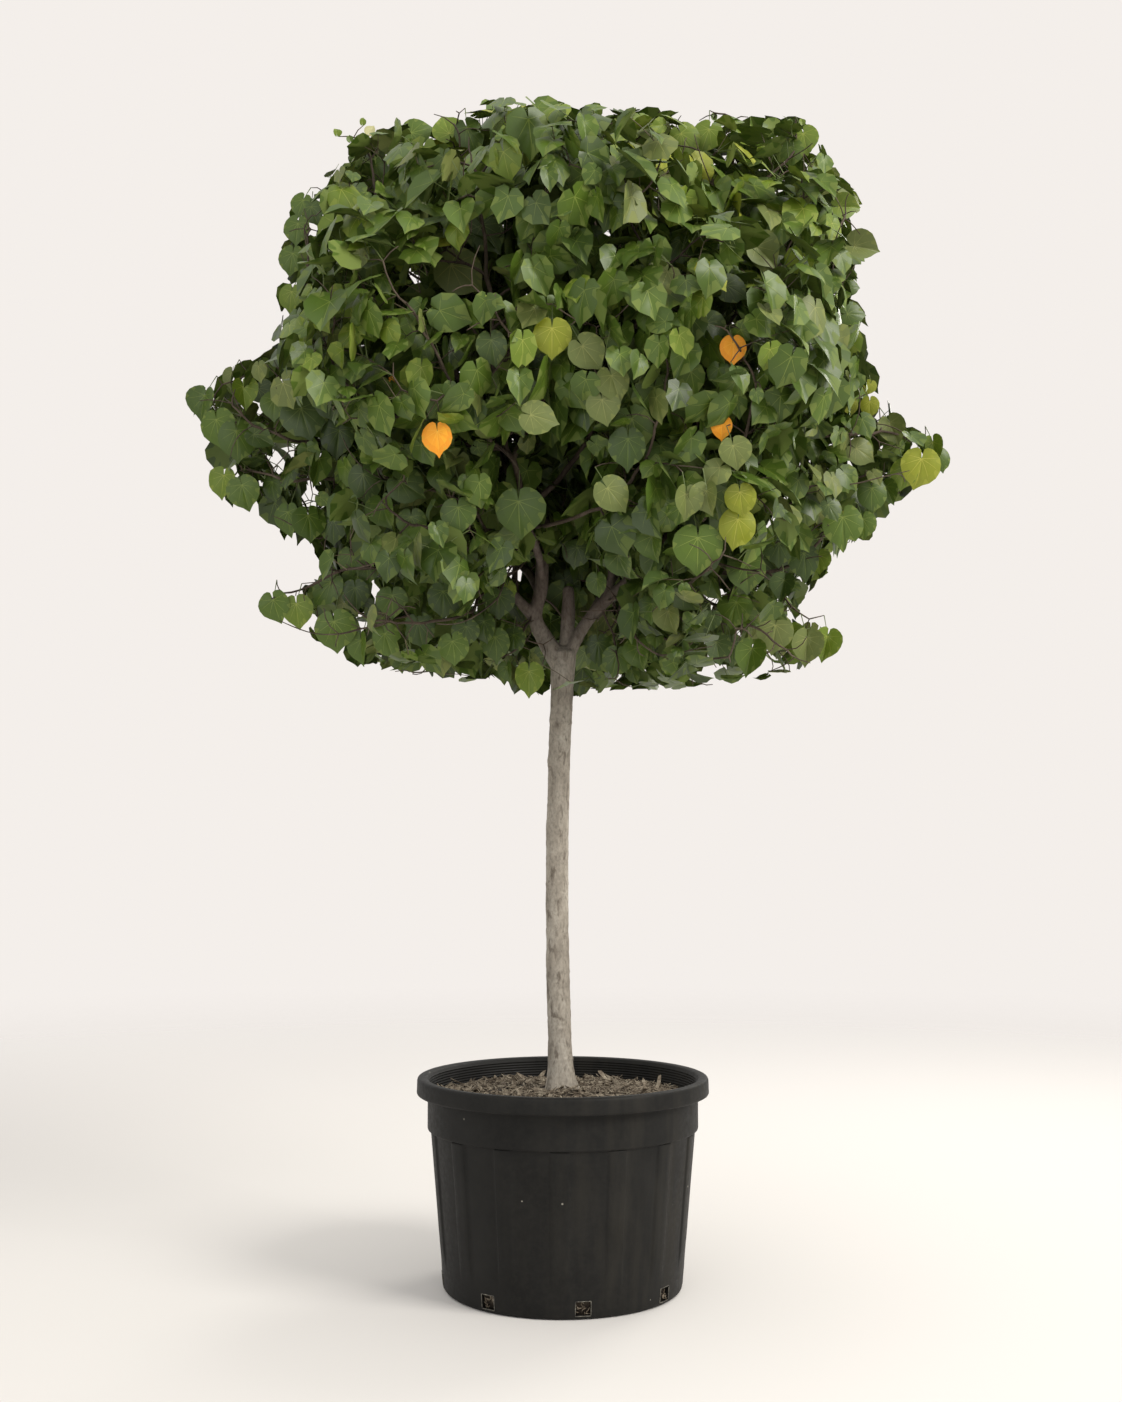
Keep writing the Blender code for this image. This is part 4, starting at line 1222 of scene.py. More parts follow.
def blade_template(rng, grade, form):
    """A blade in its own frame: u across, v to the tip, w up from the upper face.  The
    stalk joins at the origin and the tip is near v = 1."""
    half, vein_at, rings = RAYS[grade]
    angles = [-a for a in half[:0:-1]] + list(half)
    mid = len(half) - 1
    veins = set()
    for k in vein_at:
        veins.add(mid + k)
        veins.add(mid - k)
    deg = np.array([a for a, _ in BLADE], float)
    rad = np.array([r for _, r in BLADE], float)
    stretch = rng.uniform(0.90, 1.10)
    lean = rng.normal(0, 0.045)
    full = []
    for a in angles:
        r = np.interp(abs(a), deg, rad)
        r *= 1 + lean * math.sin(math.radians(a))
        r *= 1 + rng.normal(0, 0.012)
        full.append(r)
    full = np.array(full)
    if form == "nibbled":
        for _ in range(rng.randint(1, 3)):
            k = rng.randint(3, len(angles) - 3)
            full[k] *= rng.uniform(0.70, 0.86)
    fold = {"flat": 0.10, "folded": 0.62, "curled": 0.15, "nibbled": 0.15, "cupped": 0.30, "wavy": 0.18}[form]
    fold += rng.normal(0, 0.08)
    ku = {"flat": 0.50, "folded": 0.20, "curled": 1.55, "nibbled": 0.6, "cupped": -0.55, "wavy": 0.45}[form]
    ku += rng.normal(0, 0.20)
    kv = {"flat": 0.42, "folded": 0.45, "curled": 0.95, "nibbled": 0.5, "cupped": 0.20, "wavy": 0.55}[form]
    kv += rng.normal(0, 0.22)
    wave = {"wavy": 0.040}.get(form, 0.012) * rng.uniform(0.6, 1.3)
    waves, phase = rng.randint(3, 6), rng.uniform(0, 6.28)
    twist = rng.normal(0, 0.14)
    quilt = rng.uniform(0.012, 0.022)

    def shape(u, v, w, edge):
        th = math.atan2(u, v)
        r = math.hypot(u, v)
        w = w + wave * math.sin(waves * th + phase) * edge * edge
        w = w + math.sin(fold) * abs(u)
        x = abs(u) * math.cos(fold)
        if abs(ku) > 1e-3:
            w -= (1 - math.cos(ku * x)) / ku
            x = math.sin(ku * x) / ku
        u2 = math.copysign(x, u)
        v2 = math.sin(kv * v) / kv if abs(kv) > 1e-3 else v
        w -= (1 - math.cos(kv * v)) / kv if abs(kv) > 1e-3 else 0.0
        if v < 0:
            w += 0.35 * v * v
        c, s = math.cos(twist * v), math.sin(twist * v)
        return (u2 * c - w * s, v2 * stretch, u2 * s + w * c)

    n = len(angles)
    side = []
    side.append(shape(0, 0, 0, 0))
    for f in rings:
        prof = 4 * f * (1 - f) if f < 1 else 0.10
        for i, (a, r) in enumerate(zip(angles, full)):
            th = math.radians(a)
            fr = f * r
            lift = 0.0 if i in veins else quilt * prof * (1.0 if grade == "fine" else 1.3)
            side.append(shape(fr * math.sin(th), fr * math.cos(th), lift, f))
    side = np.array(side)
    faces, roles = [], []
    for i in range(n - 1):
        faces.append((0, 1 + i + 1, 1 + i))
        roles.append(INNER)
    for j in range(len(rings) - 1):
        for i in range(n - 1):
            a, b = 1 + j * n + i, 1 + j * n + i + 1
            faces.append((a, b, b + n, a + n))
            roles.append(OUTER if j == len(rings) - 2 else INNER)
    tone = rng.uniform()
    if grade == "fine" and tone < 0.5:
        for k in range(len(roles)):
            if roles[k] == INNER and rng.uniform() < 0.16:
                roles[k] = PATCH
    # the underside lies a blade's thickness below; both meet at the margin
    thick = 0.0075
    low = side.copy()
    nrm = face_normals(side, faces)
    inner_count = 1 + n * (len(rings) - 1)
    low[:inner_count] -= nrm[:inner_count] * thick
    co = [side, low]
    m = len(side)
    under = [tuple(v + m for v in reversed(f)) for f in faces]
    all_faces = list(faces) + under
    all_roles = roles + [UNDER] * len(under)
    # pale veins, as slim tapering strips on the upper face, and the midrib below
    count = 2 * m
    shown = [v for v in sorted(veins) if abs(angles[v]) < 110]
    for v in shown:
        for face_up in ((True, False) if v == mid and grade == "fine" else (True,)):
            base = side if face_up else low
            sign = 1.0 if face_up else -1.0
            pts = [base[0]] + [base[1 + j * n + v] for j in range(len(rings))]
            nn = [nrm[0]] + [nrm[1 + j * n + v] for j in range(len(rings))]
            across = []
            for j in range(len(rings)):
                lo_i = 1 + j * n + max(v - 1, 0)
                hi_i = 1 + j * n + min(v + 1, n - 1)
                across.append(unit(base[hi_i] - base[lo_i]))
            across = [across[0]] + across
            w0 = 0.015 if v == mid else 0.0105
            if not face_up:
                w0 = 0.020
            end = pts[-2] + (pts[-1] - pts[-2]) * 0.72
            raise_by = 0.0055
            strip = []
            for j in range(len(rings)):
                wj = w0 * (1 - 0.30 * j)
                c = pts[j] + sign * nn[j] * raise_by
                strip += [c - across[j] * wj, c + across[j] * wj]
            strip.append(end + sign * nn[-1] * raise_by * 0.6)
            co.append(np.array(strip))
            k = len(rings)
            for j in range(k - 1):
                a = count + 2 * j
                f = (a, a + 1, a + 3, a + 2)
                all_faces.append(f[::-1] if not face_up else f)
                all_roles.append(VEIN)
            a = count + 2 * (k - 1)
            f = (a, a + 1, a + 2)
            all_faces.append(f[::-1] if not face_up else f)
            all_roles.append(VEIN)
            count += 2 * k + 1
    co = np.concatenate(co)
    sizes = np.array([len(f) for f in all_faces])
    loops = np.concatenate([np.array(f) for f in all_faces])
    return {"co": co, "loops": loops, "sizes": sizes, "roles": np.array(all_roles),
            "tris": int((sizes - 2).sum())}


def face_normals(co, faces):
    n = np.zeros_like(co)
    for f in faces:
        p = co[list(f)]
        c = np.cross(p[1] - p[0], p[-1] - p[0])
        for v in f:
            n[v] += c
    n /= np.maximum(np.linalg.norm(n, axis=1, keepdims=True), 1e-12)
    return n


FORMS = ["flat"] * 7 + ["cupped"] * 3 + ["wavy"] * 3 + ["folded"] * 2 + ["curled"] * 1 + ["nibbled"] * 2


def leaf_templates():
    rng = np.random.RandomState(77)
    fine = [(form, blade_template(rng, "fine", form)) for form in FORMS * 2]
    coarse = [(form, blade_template(rng, "coarse", form)) for form in FORMS]
    return fine, coarse


# blade colours, linear: upper inner, upper outer, patch, underside, vein
# deep, green, mid, fresh and lime run from dark to light green; the class picker deals them partly at random and partly
# as painted shade inside the crown and painted light where a leaf faces the key light. The pale grey-green sage partly
# stands for a glossy reflection painted into the leaf's colour.
SHADES = {
    "deep": ((0.030, 0.066, 0.0125), (0.027, 0.060, 0.0115), (0.034, 0.073, 0.0140), (0.072, 0.125, 0.042), (0.085, 0.150, 0.040)),
    "green": ((0.050, 0.106, 0.0170), (0.046, 0.099, 0.0160), (0.056, 0.116, 0.0190), (0.100, 0.168, 0.055), (0.125, 0.205, 0.055)),
    "mid": ((0.068, 0.138, 0.0210), (0.063, 0.130, 0.0195), (0.076, 0.150, 0.0240), (0.120, 0.198, 0.062), (0.155, 0.250, 0.068)),
    "fresh": ((0.112, 0.200, 0.0260), (0.105, 0.190, 0.0240), (0.124, 0.212, 0.0290), (0.165, 0.255, 0.065), (0.230, 0.330, 0.085)),
    "lime": ((0.190, 0.262, 0.0240), (0.182, 0.250, 0.0230), (0.205, 0.275, 0.0260), (0.235, 0.310, 0.060), (0.330, 0.400, 0.090)),
    "sage": ((0.110, 0.165, 0.0660), (0.102, 0.156, 0.0610), (0.120, 0.176, 0.0740), (0.150, 0.210, 0.095), (0.200, 0.265, 0.125)),
    "blue": ((0.046, 0.092, 0.0300), (0.042, 0.086, 0.0275), (0.052, 0.100, 0.0340), (0.098, 0.158, 0.070), (0.120, 0.190, 0.080)),
    "amber": ((0.830, 0.330, 0.0120), (0.780, 0.290, 0.0100), (0.870, 0.380, 0.0160), (0.700, 0.330, 0.030), (0.880, 0.450, 0.040)),
    "straw": ((0.560, 0.540, 0.2800), (0.520, 0.500, 0.2500), (0.600, 0.580, 0.3100), (0.520, 0.500, 0.280), (0.640, 0.620, 0.380)),
}
CLASS = {name: k for k, name in enumerate(SHADES)}
WARM = (1.22, 1.0, 0.62)
GLOSS = {"deep": 0.40, "green": 0.42, "mid": 0.44, "fresh": 0.46, "lime": 0.48, "sage": 0.50, "blue": 0.42,
         "amber": 0.55, "straw": 0.6}


def leaf_materials():
    mats = []
    for name, shades in SHADES.items():
        for role, rgb in zip(("inner", "outer", "patch", "under", "vein"), shades):
            if name not in ("amber", "straw"):
                rgb = (rgb[0] * WARM[0], rgb[1] * WARM[1], rgb[2] * WARM[2])
            rough = GLOSS[name] + (0.16 if role == "under" else 0.0)
            mats.append(plain("leaf_%s_%s" % (name, role), rgb, rough, specular=0.42 if role != "under" else 0.3))
    mats.append(plain("leaf_stalk_green", (0.110, 0.150, 0.040), 0.5))
    mats.append(plain("leaf_stalk_brown", (0.105, 0.080, 0.042), 0.55))
    return mats


STALK_GREEN = len(SHADES) * 5
STALK_BROWN = STALK_GREEN + 1


class Leaf:
    __slots__ = ("base", "join", "tip", "up", "size", "cls", "form", "fine", "mass", "stalk")

    def __init__(self, base, join, tip, up, size, cls, form=None, fine=True, stalk=STALK_GREEN):
        self.base, self.join = np.array(base, float), np.array(join, float)
        up = unit(up)
        tip = np.array(tip, float)
        tip = unit(tip - up * float(tip @ up))
        self.tip, self.up, self.size, self.cls = tip, up, size, cls
        self.form, self.fine, self.stalk = form, fine, stalk

    def centre(self):
        return self.join + self.tip * self.size * 0.27

    def corners(self):
        side = np.cross(self.tip, self.up)
        s = self.size / 1.36
        return np.array([self.join + self.tip * s, self.join + self.tip * s * 0.1 + side * s * 0.55,
                         self.join + self.tip * s * 0.1 - side * s * 0.55, self.join - self.tip * s * 0.30])


def leaf_into(build, leaf, fine, coarse, rng):
    pool = fine if leaf.fine else coarse
    if leaf.form is None:
        _, t = pool[rng.randint(len(pool))]
    else:
        fits = [t for form, t in pool if form == leaf.form]
        t = fits[rng.randint(len(fits))]
    s = leaf.size / 1.36
    side = np.cross(leaf.tip, leaf.up)
    wide = rng.uniform(0.94, 1.08)
    frame3 = np.stack([side * wide, leaf.tip, leaf.up])
    co = leaf.join + (t["co"] * s) @ frame3
    mats = leaf.cls * 5 + t["roles"]
    build.put_flat(co, t["loops"], t["sizes"], mats)
    # stalk
    way = leaf.join - leaf.base
    length = float(np.linalg.norm(way))
    if length > 0.004:
        sag = np.array([0, 0, -0.10 * length])
        pts = [leaf.base, leaf.base + way * 0.48 + sag * 0.2 + np.array([0, 0, 0.05 * length]), leaf.join]
        co, faces = tube_mesh(pts, [0.0012, 0.0009, 0.00085], 3, cap_start=False, cap_end=False)
        build.put(co, faces, leaf.stalk)


def pick_class_with_painted_light(rng, depth, out, p, base):
    """The spray's own shade, made lighter as painted light where the leaf faces the key light (right, up, front) and
    higher up, and darkest as painted shade deep inside the crown.
    """
    # painted light: how far the leaf faces the key light from the right, above and front
    lit = 0.5 * out[0] + 0.35 * out[2] + 0.25 * (-out[1])
    h = (p[2] - 1.25) / 1.2
    x = rng.uniform()
    # painted shade: leaves deep inside the crown take the darkest greens
    if depth > 0.16:
        return "deep" if x < 0.75 else "green"
    tone_and_painted_light = base + 0.30 * lit + 0.30 * (h - 0.5) + rng.normal(0, 0.20)
    if x < 0.055 + 0.05 * max(h, 0):
        return "sage"
    if x > 0.95:
        return "blue"
    if tone_and_painted_light < 0.12:
        return "deep"
    if tone_and_painted_light < 0.52:
        return "green"
    if tone_and_painted_light < 0.84:
        return "mid"
    if tone_and_painted_light < 1.10:
        return "fresh"
    return "lime"


# single leaves that stand out at the edges: place of the blade's middle in the picture, distance
# from the picture's plane, blade length in pixels, turn of the tip from straight down (+ right),
# turn and nod of the face, shade, form
HEROES = [
    # left arm
    (202, 406, -0.05, 42, -14, 15, 0, "green", "cupped"), (231, 380, -0.02, 28, -10, 40, 0, "sage", "folded"),
    (244, 396, -0.06, 38, 8, -20, 5, "fresh", "folded"), (264, 393, 0.00, 34, 50, 0, 10, "blue", "flat"),
    (217, 431, -0.08, 45, 4, 20, 0, "mid", "flat"), (237, 442, -0.10, 44, 5, -15, 0, "green", "flat"),
    (274, 408, -0.10, 36, 0, 0, 10, "mid", "flat"), (262, 439, -0.12, 36, 60, 10, 0, "blue", "folded"),
    (305, 421, -0.16, 52, 18, 0, 0, "blue", "flat"), (338, 442, -0.14, 46, -5, 0, 0, "deep", "flat"),
    (222, 485, -0.05, 38, -10, 10, 0, "fresh", "wavy"), (245, 495, -0.06, 41, 18, 0, 0, "mid", "flat"),
    (272, 490, -0.04, 32, 0, 30, 0, "deep", "flat"), (288, 523, -0.05, 42, 0, 25, 0, "green", "wavy"),
    (310, 526, -0.08, 42, 10, -20, 0, "green", "flat"), (333, 530, -0.06, 38, 0, 10, 0, "deep", "nibbled"),
    (364, 485, -0.24, 43, 5, 0, 0, "blue", "flat"), (410, 487, -0.34, 46, 60, 0, 0, "blue", "flat"),
    (385, 516, -0.28, 46, 10, 20, 0, "green", "folded"), (411, 526, -0.30, 36, 0, 0, 0, "green", "flat"),
    (459, 518, -0.42, 42, 5, 0, 0, "green", "flat"), (519, 516, -0.36, 57, 2, 0, 0, "green", "flat"),
    # lower left spray
    (276, 610, -0.08, 40, 15, 10, 0, "mid", "wavy"), (297, 614, -0.08, 39, 5, 0, 0, "fresh", "flat"),
    (324, 590, -0.06, 40, -40, 10, 0, "green", "nibbled"), (351, 563, -0.04, 34, 5, 20, 0, "green", "flat"),
    (367, 573, -0.05, 28, 0, 0, 0, "green", "flat"), (356, 597, -0.06, 36, 5, 0, 0, "deep", "flat"),
    (336, 634, -0.12, 49, 10, 0, 0, "mid", "flat"), (361, 651, -0.10, 40, 0, 30, 0, "mid", "folded"),
    (388, 643, -0.12, 38, 20, 0, 0, "mid", "nibbled"), (392, 605, -0.14, 38, 0, 0, 0, "green", "flat"),
    (420, 633, -0.16, 40, 10, 10, 0, "deep", "nibbled"), (443, 602, -0.22, 42, 0, 0, 0, "deep", "flat"),
    (454, 651, -0.20, 38, 10, 0, 0, "mid", "flat"), (466, 635, -0.20, 32, 0, 0, 0, "deep", "flat"),
    (484, 630, -0.16, 34, 0, 20, 0, "deep", "flat"), (499, 605, -0.14, 37, 0, 0, 0, "deep", "flat"),
    (496, 646, -0.10, 35, 5, 0, 0, "green", "flat"), (514, 643, -0.08, 32, 0, 30, 0, "deep", "flat"),
    (508, 674, -0.06, 28, 5, 40, 0, "green", "folded"), (529, 681, -0.08, 37, 0, 0, 0, "fresh", "cupped"),
    # right tip and edge
    (920, 471, -0.05, 48, -8, 0, 0, "lime", "flat"), (934, 451, -0.02, 34, 5, 35, 0, "fresh", "folded"),
    (941, 461, 0.02, 26, 15, 0, 0, "green", "flat"), (903, 476, -0.04, 37, -10, 20, 0, "fresh", "flat"),
    (893, 431, -0.02, 34, 20, 20, 0, "sage", "cupped"), (851, 408, 0.0, 22, 0, 0, 0, "lime", "flat"),
    (870, 408, -0.02, 25, 0, 10, 0, "lime", "flat"), (869, 388, 0.0, 18, -20, 0, 0, "lime", "flat"),
    (889, 494, -0.02, 31, 20, 20, 0, "green", "folded"), (864, 453, -0.12, 36, 60, 0, 0, "sage", "flat"),
    (872, 497, -0.05, 35, 0, 0, 0, "green", "flat"), (843, 530, -0.12, 50, 0, 0, 0, "mid", "nibbled"),
    (863, 527, -0.04, 31, 0, 20, 0, "mid", "flat"), (832, 511, -0.16, 29, 30, 0, 0, "blue", "flat"),
    (779, 553, -0.12, 38, 0, 0, 0, "deep", "flat"), (805, 563, -0.08, 39, 5, 0, 0, "deep", "flat"),
    (819, 563, -0.02, 29, 0, 20, 0, "fresh", "flat"), (782, 589, -0.10, 35, -15, 20, 0, "blue", "folded"),
    (747, 576, -0.20, 47, 5, 0, 0, "green", "flat"), (733, 612, -0.16, 41, -20, 15, 0, "mid", "wavy"),
    (749, 619, -0.14, 34, 60, 0, 0, "mid", "folded"), (712, 622, -0.20, 24, 0, 0, 0, "deep", "flat"),
    # lower right spray
    (718, 651, -0.12, 35, 10, 0, 0, "blue", "cupped"), (733, 652, -0.10, 34, 5, -15, 0, "blue", "flat"),
    (749, 660, -0.12, 45, -15, 10, 0, "mid", "folded"), (774, 637, -0.12, 46, -8, 0, 0, "sage", "flat"),
    (793, 642, -0.08, 39, 10, 30, 0, "fresh", "flat"), (806, 650, -0.10, 45, -5, 0, 0, "sage", "folded"),
    (825, 647, -0.08, 41, -14, 0, 0, "fresh", "folded"),
    # front, lower
    (698, 553, -0.46, 59, 0, 0, 0, "mid", "flat"), (707, 502, -0.52, 43, 0, 25, 0, "sage", "folded"),
    (686, 505, -0.52, 42, 0, -20, 0, "sage", "folded"), (741, 502, -0.50, 39, 5, 10, 0, "lime", "flat"),
    (736, 530, -0.48, 43, -10, 0, 0, "lime", "flat"), (615, 497, -0.50, 46, 40, 0, 0, "sage", "flat"),
    (652, 548, -0.44, 45, 0, 25, 0, "green", "folded"), (622, 566, -0.40, 43, 20, 15, 0, "blue", "folded"),
    (597, 586, -0.14, 28, 0, 20, 0, "green", "flat"), (576, 556, -0.10, 34, -10, 0, 0, "deep", "flat"),
    (598, 652, 0.02, 36, 0, 0, 0, "deep", "flat"), (615, 663, -0.04, 35, -10, 0, 0, "green", "flat"),
    (639, 658, -0.10, 42, 0, 20, 0, "green", "folded"), (656, 640, -0.16, 22, 0, 0, 0, "mid", "flat"),
    (670, 622, -0.34, 42, 10, 20, 0, "sage", "folded"), (652, 612, -0.30, 32, 0, 0, 0, "green", "flat"),
    (628, 450, -0.50, 44, 0, 0, 0, "deep", "flat"), (735, 455, -0.52, 38, 10, 0, 0, "sage", "flat"),
    # front, upper, with the pale sage ones whose glossy reflection is painted into their colour
    (552, 340, -0.55, 47, 0, 0, 0, "lime", "flat"), (464, 274, -0.36, 62, 55, 0, 0, "sage", "flat"),
    (490, 236, -0.34, 52, 35, 0, 0, "blue", "flat"), (765, 255, -0.26, 48, 45, 0, 0, "sage", "folded"),
    (590, 355, -0.55, 47, 40, 0, 0, "sage", "flat"), (615, 385, -0.55, 40, 20, 0, 0, "sage", "wavy"),
    (542, 418, -0.55, 46, 75, 0, 0, "sage", "flat"), (493, 350, -0.54, 40, 10, 0, 0, "blue", "flat"),
    (604, 410, -0.54, 42, 10, 10, 0, "sage", "flat"), (735, 290, -0.40, 40, 60, 0, 0, "blue", "flat"),
    (716, 325, -0.44, 38, 80, 0, 0, "blue", "flat"), (680, 250, -0.34, 40, 0, 0, 0, "green", "flat"),
    # turned leaves
    (733, 352, -0.54, 35, 0, 0, 0, "amber", "flat"), (438, 440, -0.55, 35, 5, 0, 0, "amber", "flat"),
    (722, 429, -0.50, 28, 0, 0, 0, "amber", "flat"), (395, 383, -0.40, 17, 60, 0, 0, "amber", "flat"),
    (332, 294, -0.16, 17, 20, 0, 0, "amber", "flat"), (586, 246, -0.42, 12, 60, 0, 0, "amber", "flat"),
    # top shoots
    (337, 131, 0.0, 13, 180, 20, 0, "fresh", "folded"), (363, 121, 0.02, 11, 170, 20, 0, "fresh", "folded"),
    (371, 130, 0.0, 14, 150, 0, 0, "straw", "cupped"), (350, 138, 0.0, 11, 190, 0, 0, "mid", "folded"),
    (377, 172, -0.02, 28, 8, 30, 0, "green", "curled"), (352, 160, 0.0, 18, 200, 30, 0, "mid", "folded"),
    (420, 130, 0.0, 36, 110, 10, 0, "mid", "flat"), (446, 125, -0.03, 38, 200, 0, 0, "fresh", "flat"),
    (470, 136, -0.06, 38, 20, 0, 0, "green", "flat"), (515, 112, 0.0, 13, 180, 0, 0, "fresh", "folded"),
    (524, 107, 0.0, 10, 160, 0, 0, "lime", "folded"), (506, 122, 0.0, 12, 200, 0, 0, "mid", "flat"),
    (611, 120, -0.02, 22, 150, 10, 0, "mid", "flat"), (632, 134, -0.02, 14, 90, 0, 0, "straw", "flat"),
    (686, 142, -0.05, 40, 30, 10, 0, "fresh", "flat"), (706, 138, -0.02, 38, -20, 0, 0, "fresh", "flat"),
    (714, 116, 0.0, 10, 180, 0, 0, "mid", "folded"), (722, 122, 0.0, 9, 160, 0, 0, "straw", "folded"),
    (805, 142, -0.02, 35, 10, 10, 0, "fresh", "flat"), (790, 155, -0.04, 32, 0, 30, 0, "mid", "flat"),
    (790, 122, 0.0, 10, 170, 0, 0, "mid", "folded"), (802, 121, 0.0, 10, 190, 0, 0, "fresh", "folded"),
    (848, 207, 0.0, 36, 88, 20, 0, "fresh", "folded"), (865, 248, -0.02, 42, 80, 10, 0, "sage", "folded"),
    (853, 287, 0.0, 20, 90, 10, 0, "green", "flat"), (855, 314, -0.02, 31, 90, 10, 0, "green", "flat"),
    (301, 206, 0.0, 26, -20, 0, 0, "mid", "flat"), (314, 214, 0.0, 32, 20, 10, 0, "green", "flat"),
    (297, 231, -0.03, 31, -5, 0, 0, "mid", "flat"), (291, 262, -0.02, 35, -10, 10, 0, "mid", "flat"),
    (290, 300, -0.02, 34, -10, 10, 0, "fresh", "flat"),
]
# open places where the backdrop shows through, in the picture: middle, half sizes
GAPS = [(290, 433, 5, 4), (305, 496, 9, 6), (397, 579, 5, 6), (473, 605, 4, 6), (507, 622, 7, 3), (512, 571, 8, 8),
        (411, 619, 3, 2), (450, 630, 3, 3), (787, 502, 6, 5), (760, 461, 6, 3), (694, 433, 3, 4), (713, 599, 7, 5),
        (764, 528, 4, 6), (416, 283, 4, 22), (467, 372, 4, 8), (722, 262, 6, 5), (748, 236, 4, 6)]


def hero_leaves():
    out = []
    for px, py, y, size, angle, yaw, nod, cls, form in HEROES:
        c = unproject(px, py, y)
        scale = (y - CAMERA[1]) / FOCAL
        a = math.radians(angle)
        tip = np.array([math.sin(a), 0, -math.cos(a)])
        up = np.array([0.0, -1.0, 0.12])
        up = unit(up - tip * float(up @ tip))
        side = np.cross(tip, up)
        up = unit(up * math.cos(math.radians(yaw)) + side * math.sin(math.radians(yaw)))
        n = math.radians(nod)
        tip, up = unit(tip * math.cos(n) + up * math.sin(n)), unit(up * math.cos(n) - tip * math.sin(n))
        length = size * scale
        join = c - tip * length * 0.27
        inward = unit([0.0 - c[0] * 0.9, 0.10 - 0.3 * c[1], 0.55])
        base = join + (inward * 0.5 - tip * 0.75) * length * 0.48
        leaf = Leaf(base, join, tip, up, length, CLASS[cls], form=form or None)
        out.append(leaf)
    return out


def grow(crown):
    rng = np.random.RandomState(5)
    ends = shoot_ends(crown, rng)
    heroes = hero_leaves()
    if heroes:
        own = np.array([h.base for h in heroes])
        keep = []
        for k, q in enumerate(own):
            if all(np.linalg.norm(q - own[j]) > 0.022 for j in keep):
                keep.append(k)
        own = own[keep]
        far = np.array([np.linalg.norm(own - e, axis=1).min() > 0.035 for e in ends])
        ends = np.concatenate([ends[far], own])
    tree = Branches()
    for name in BOUGHS:
        path, radii = bough_path(name)
        if name.endswith("stub"):
            continue
        begin = int(len(path) * 0.45)
        last = -1
        for k in range(begin, len(path)):
            last = tree.add(path[k], last, float(radii[k]))
    tree.grow(ends, rng)
    tree.finish()
    return tree, ends, heroes


def make_twigs(tree, mats):
    """All the twigs as tapering tubes, gathered in one build that is returned."""
    b, stout = Build(), []
    fixed_ends = {i for i in range(len(tree.P)) if tree.fixed[i] and not any(tree.fixed[k] for k in tree.K[i])}
    for run in tree.chains():
        path = tree.P[run]
        radii = tree.R[run].copy()
        radii[0] = radii[1] * 1.12
        if run[0] in fixed_ends and len(run) > 4 and tree.R[run[1]] > 0.55 * max(tree.R[k] for k in tree.K[run[0]]):
            start = tree.R[run[0]] * 0.97
            blend = np.clip(np.arange(len(run)) / 7.0, 0, 1)
            radii = np.maximum(radii, start * (1 - blend) + radii * blend)
        if tree.fixed[run[0]]:
            near = min(len(run), 5)
            radii[:near] = np.maximum(radii[:near], 0.0022)
        radii[-1] *= 0.75
        top = radii.max()
        if len(path) > 2:       # finer rings than growth steps, along the same curve
            count = max(3, int(len(path) * (1.5 if top > 0.003 else 1.0)))
            t = np.linspace(0, 1, count) * (len(path) - 1)
            fine = catmull(path, (len(path) - 1) * 3 + 1)
            path = np.stack([np.interp(t, np.linspace(0, len(radii) - 1, len(fine)), fine[:, k]) for k in range(3)], 1)
            radii = np.interp(t, np.arange(len(radii)), radii)
        radii = radii * (1 + 0.06 * np.sin(np.arange(len(radii)) * 1.9 + run[0]))
        sides = 10 if top > 0.006 else 8 if top > 0.0035 else 6 if top > 0.002 else 5
        co, faces = tube_mesh(path, radii, sides, cap_start=False)
        b.put(co, faces, 0 if top > 0.0016 else 1)
    return b


def fork_window(px, y):
    """Whether a place of the picture lies over the open fork, which leaves in front leave free."""
    return ((px[:, 0] > 516) & (px[:, 0] < 622) & (px[:, 1] > 566) & (px[:, 1] < 668) & (y < 0.10)).any()


def loose_part(x, y):
    """Where the picture shows separate leaves instead of a closed mass."""
    return (x < 330 and 360 < y < 560) or (x < 400 and y > 560) or (x > 830 and 380 < y < 560) or (x > 700 and y > 590)


def covers_hero(mid, y, keep):
    near = np.hypot(keep[:, 0] - mid[0], keep[:, 1] - mid[1]) < 0.60 * keep[:, 3]
    return bool((near & (y < keep[:, 2] + 0.03)).any())


def in_gap(px):
    px = np.vstack([px, px.mean(0), 0.5 * (px + px.mean(0))])
    for gx, gy, hx, hy in GAPS:
        if ((((px[:, 0] - gx) / hx) ** 2 + ((px[:, 1] - gy) / hy) ** 2) < 1).any():
            return True
    return False


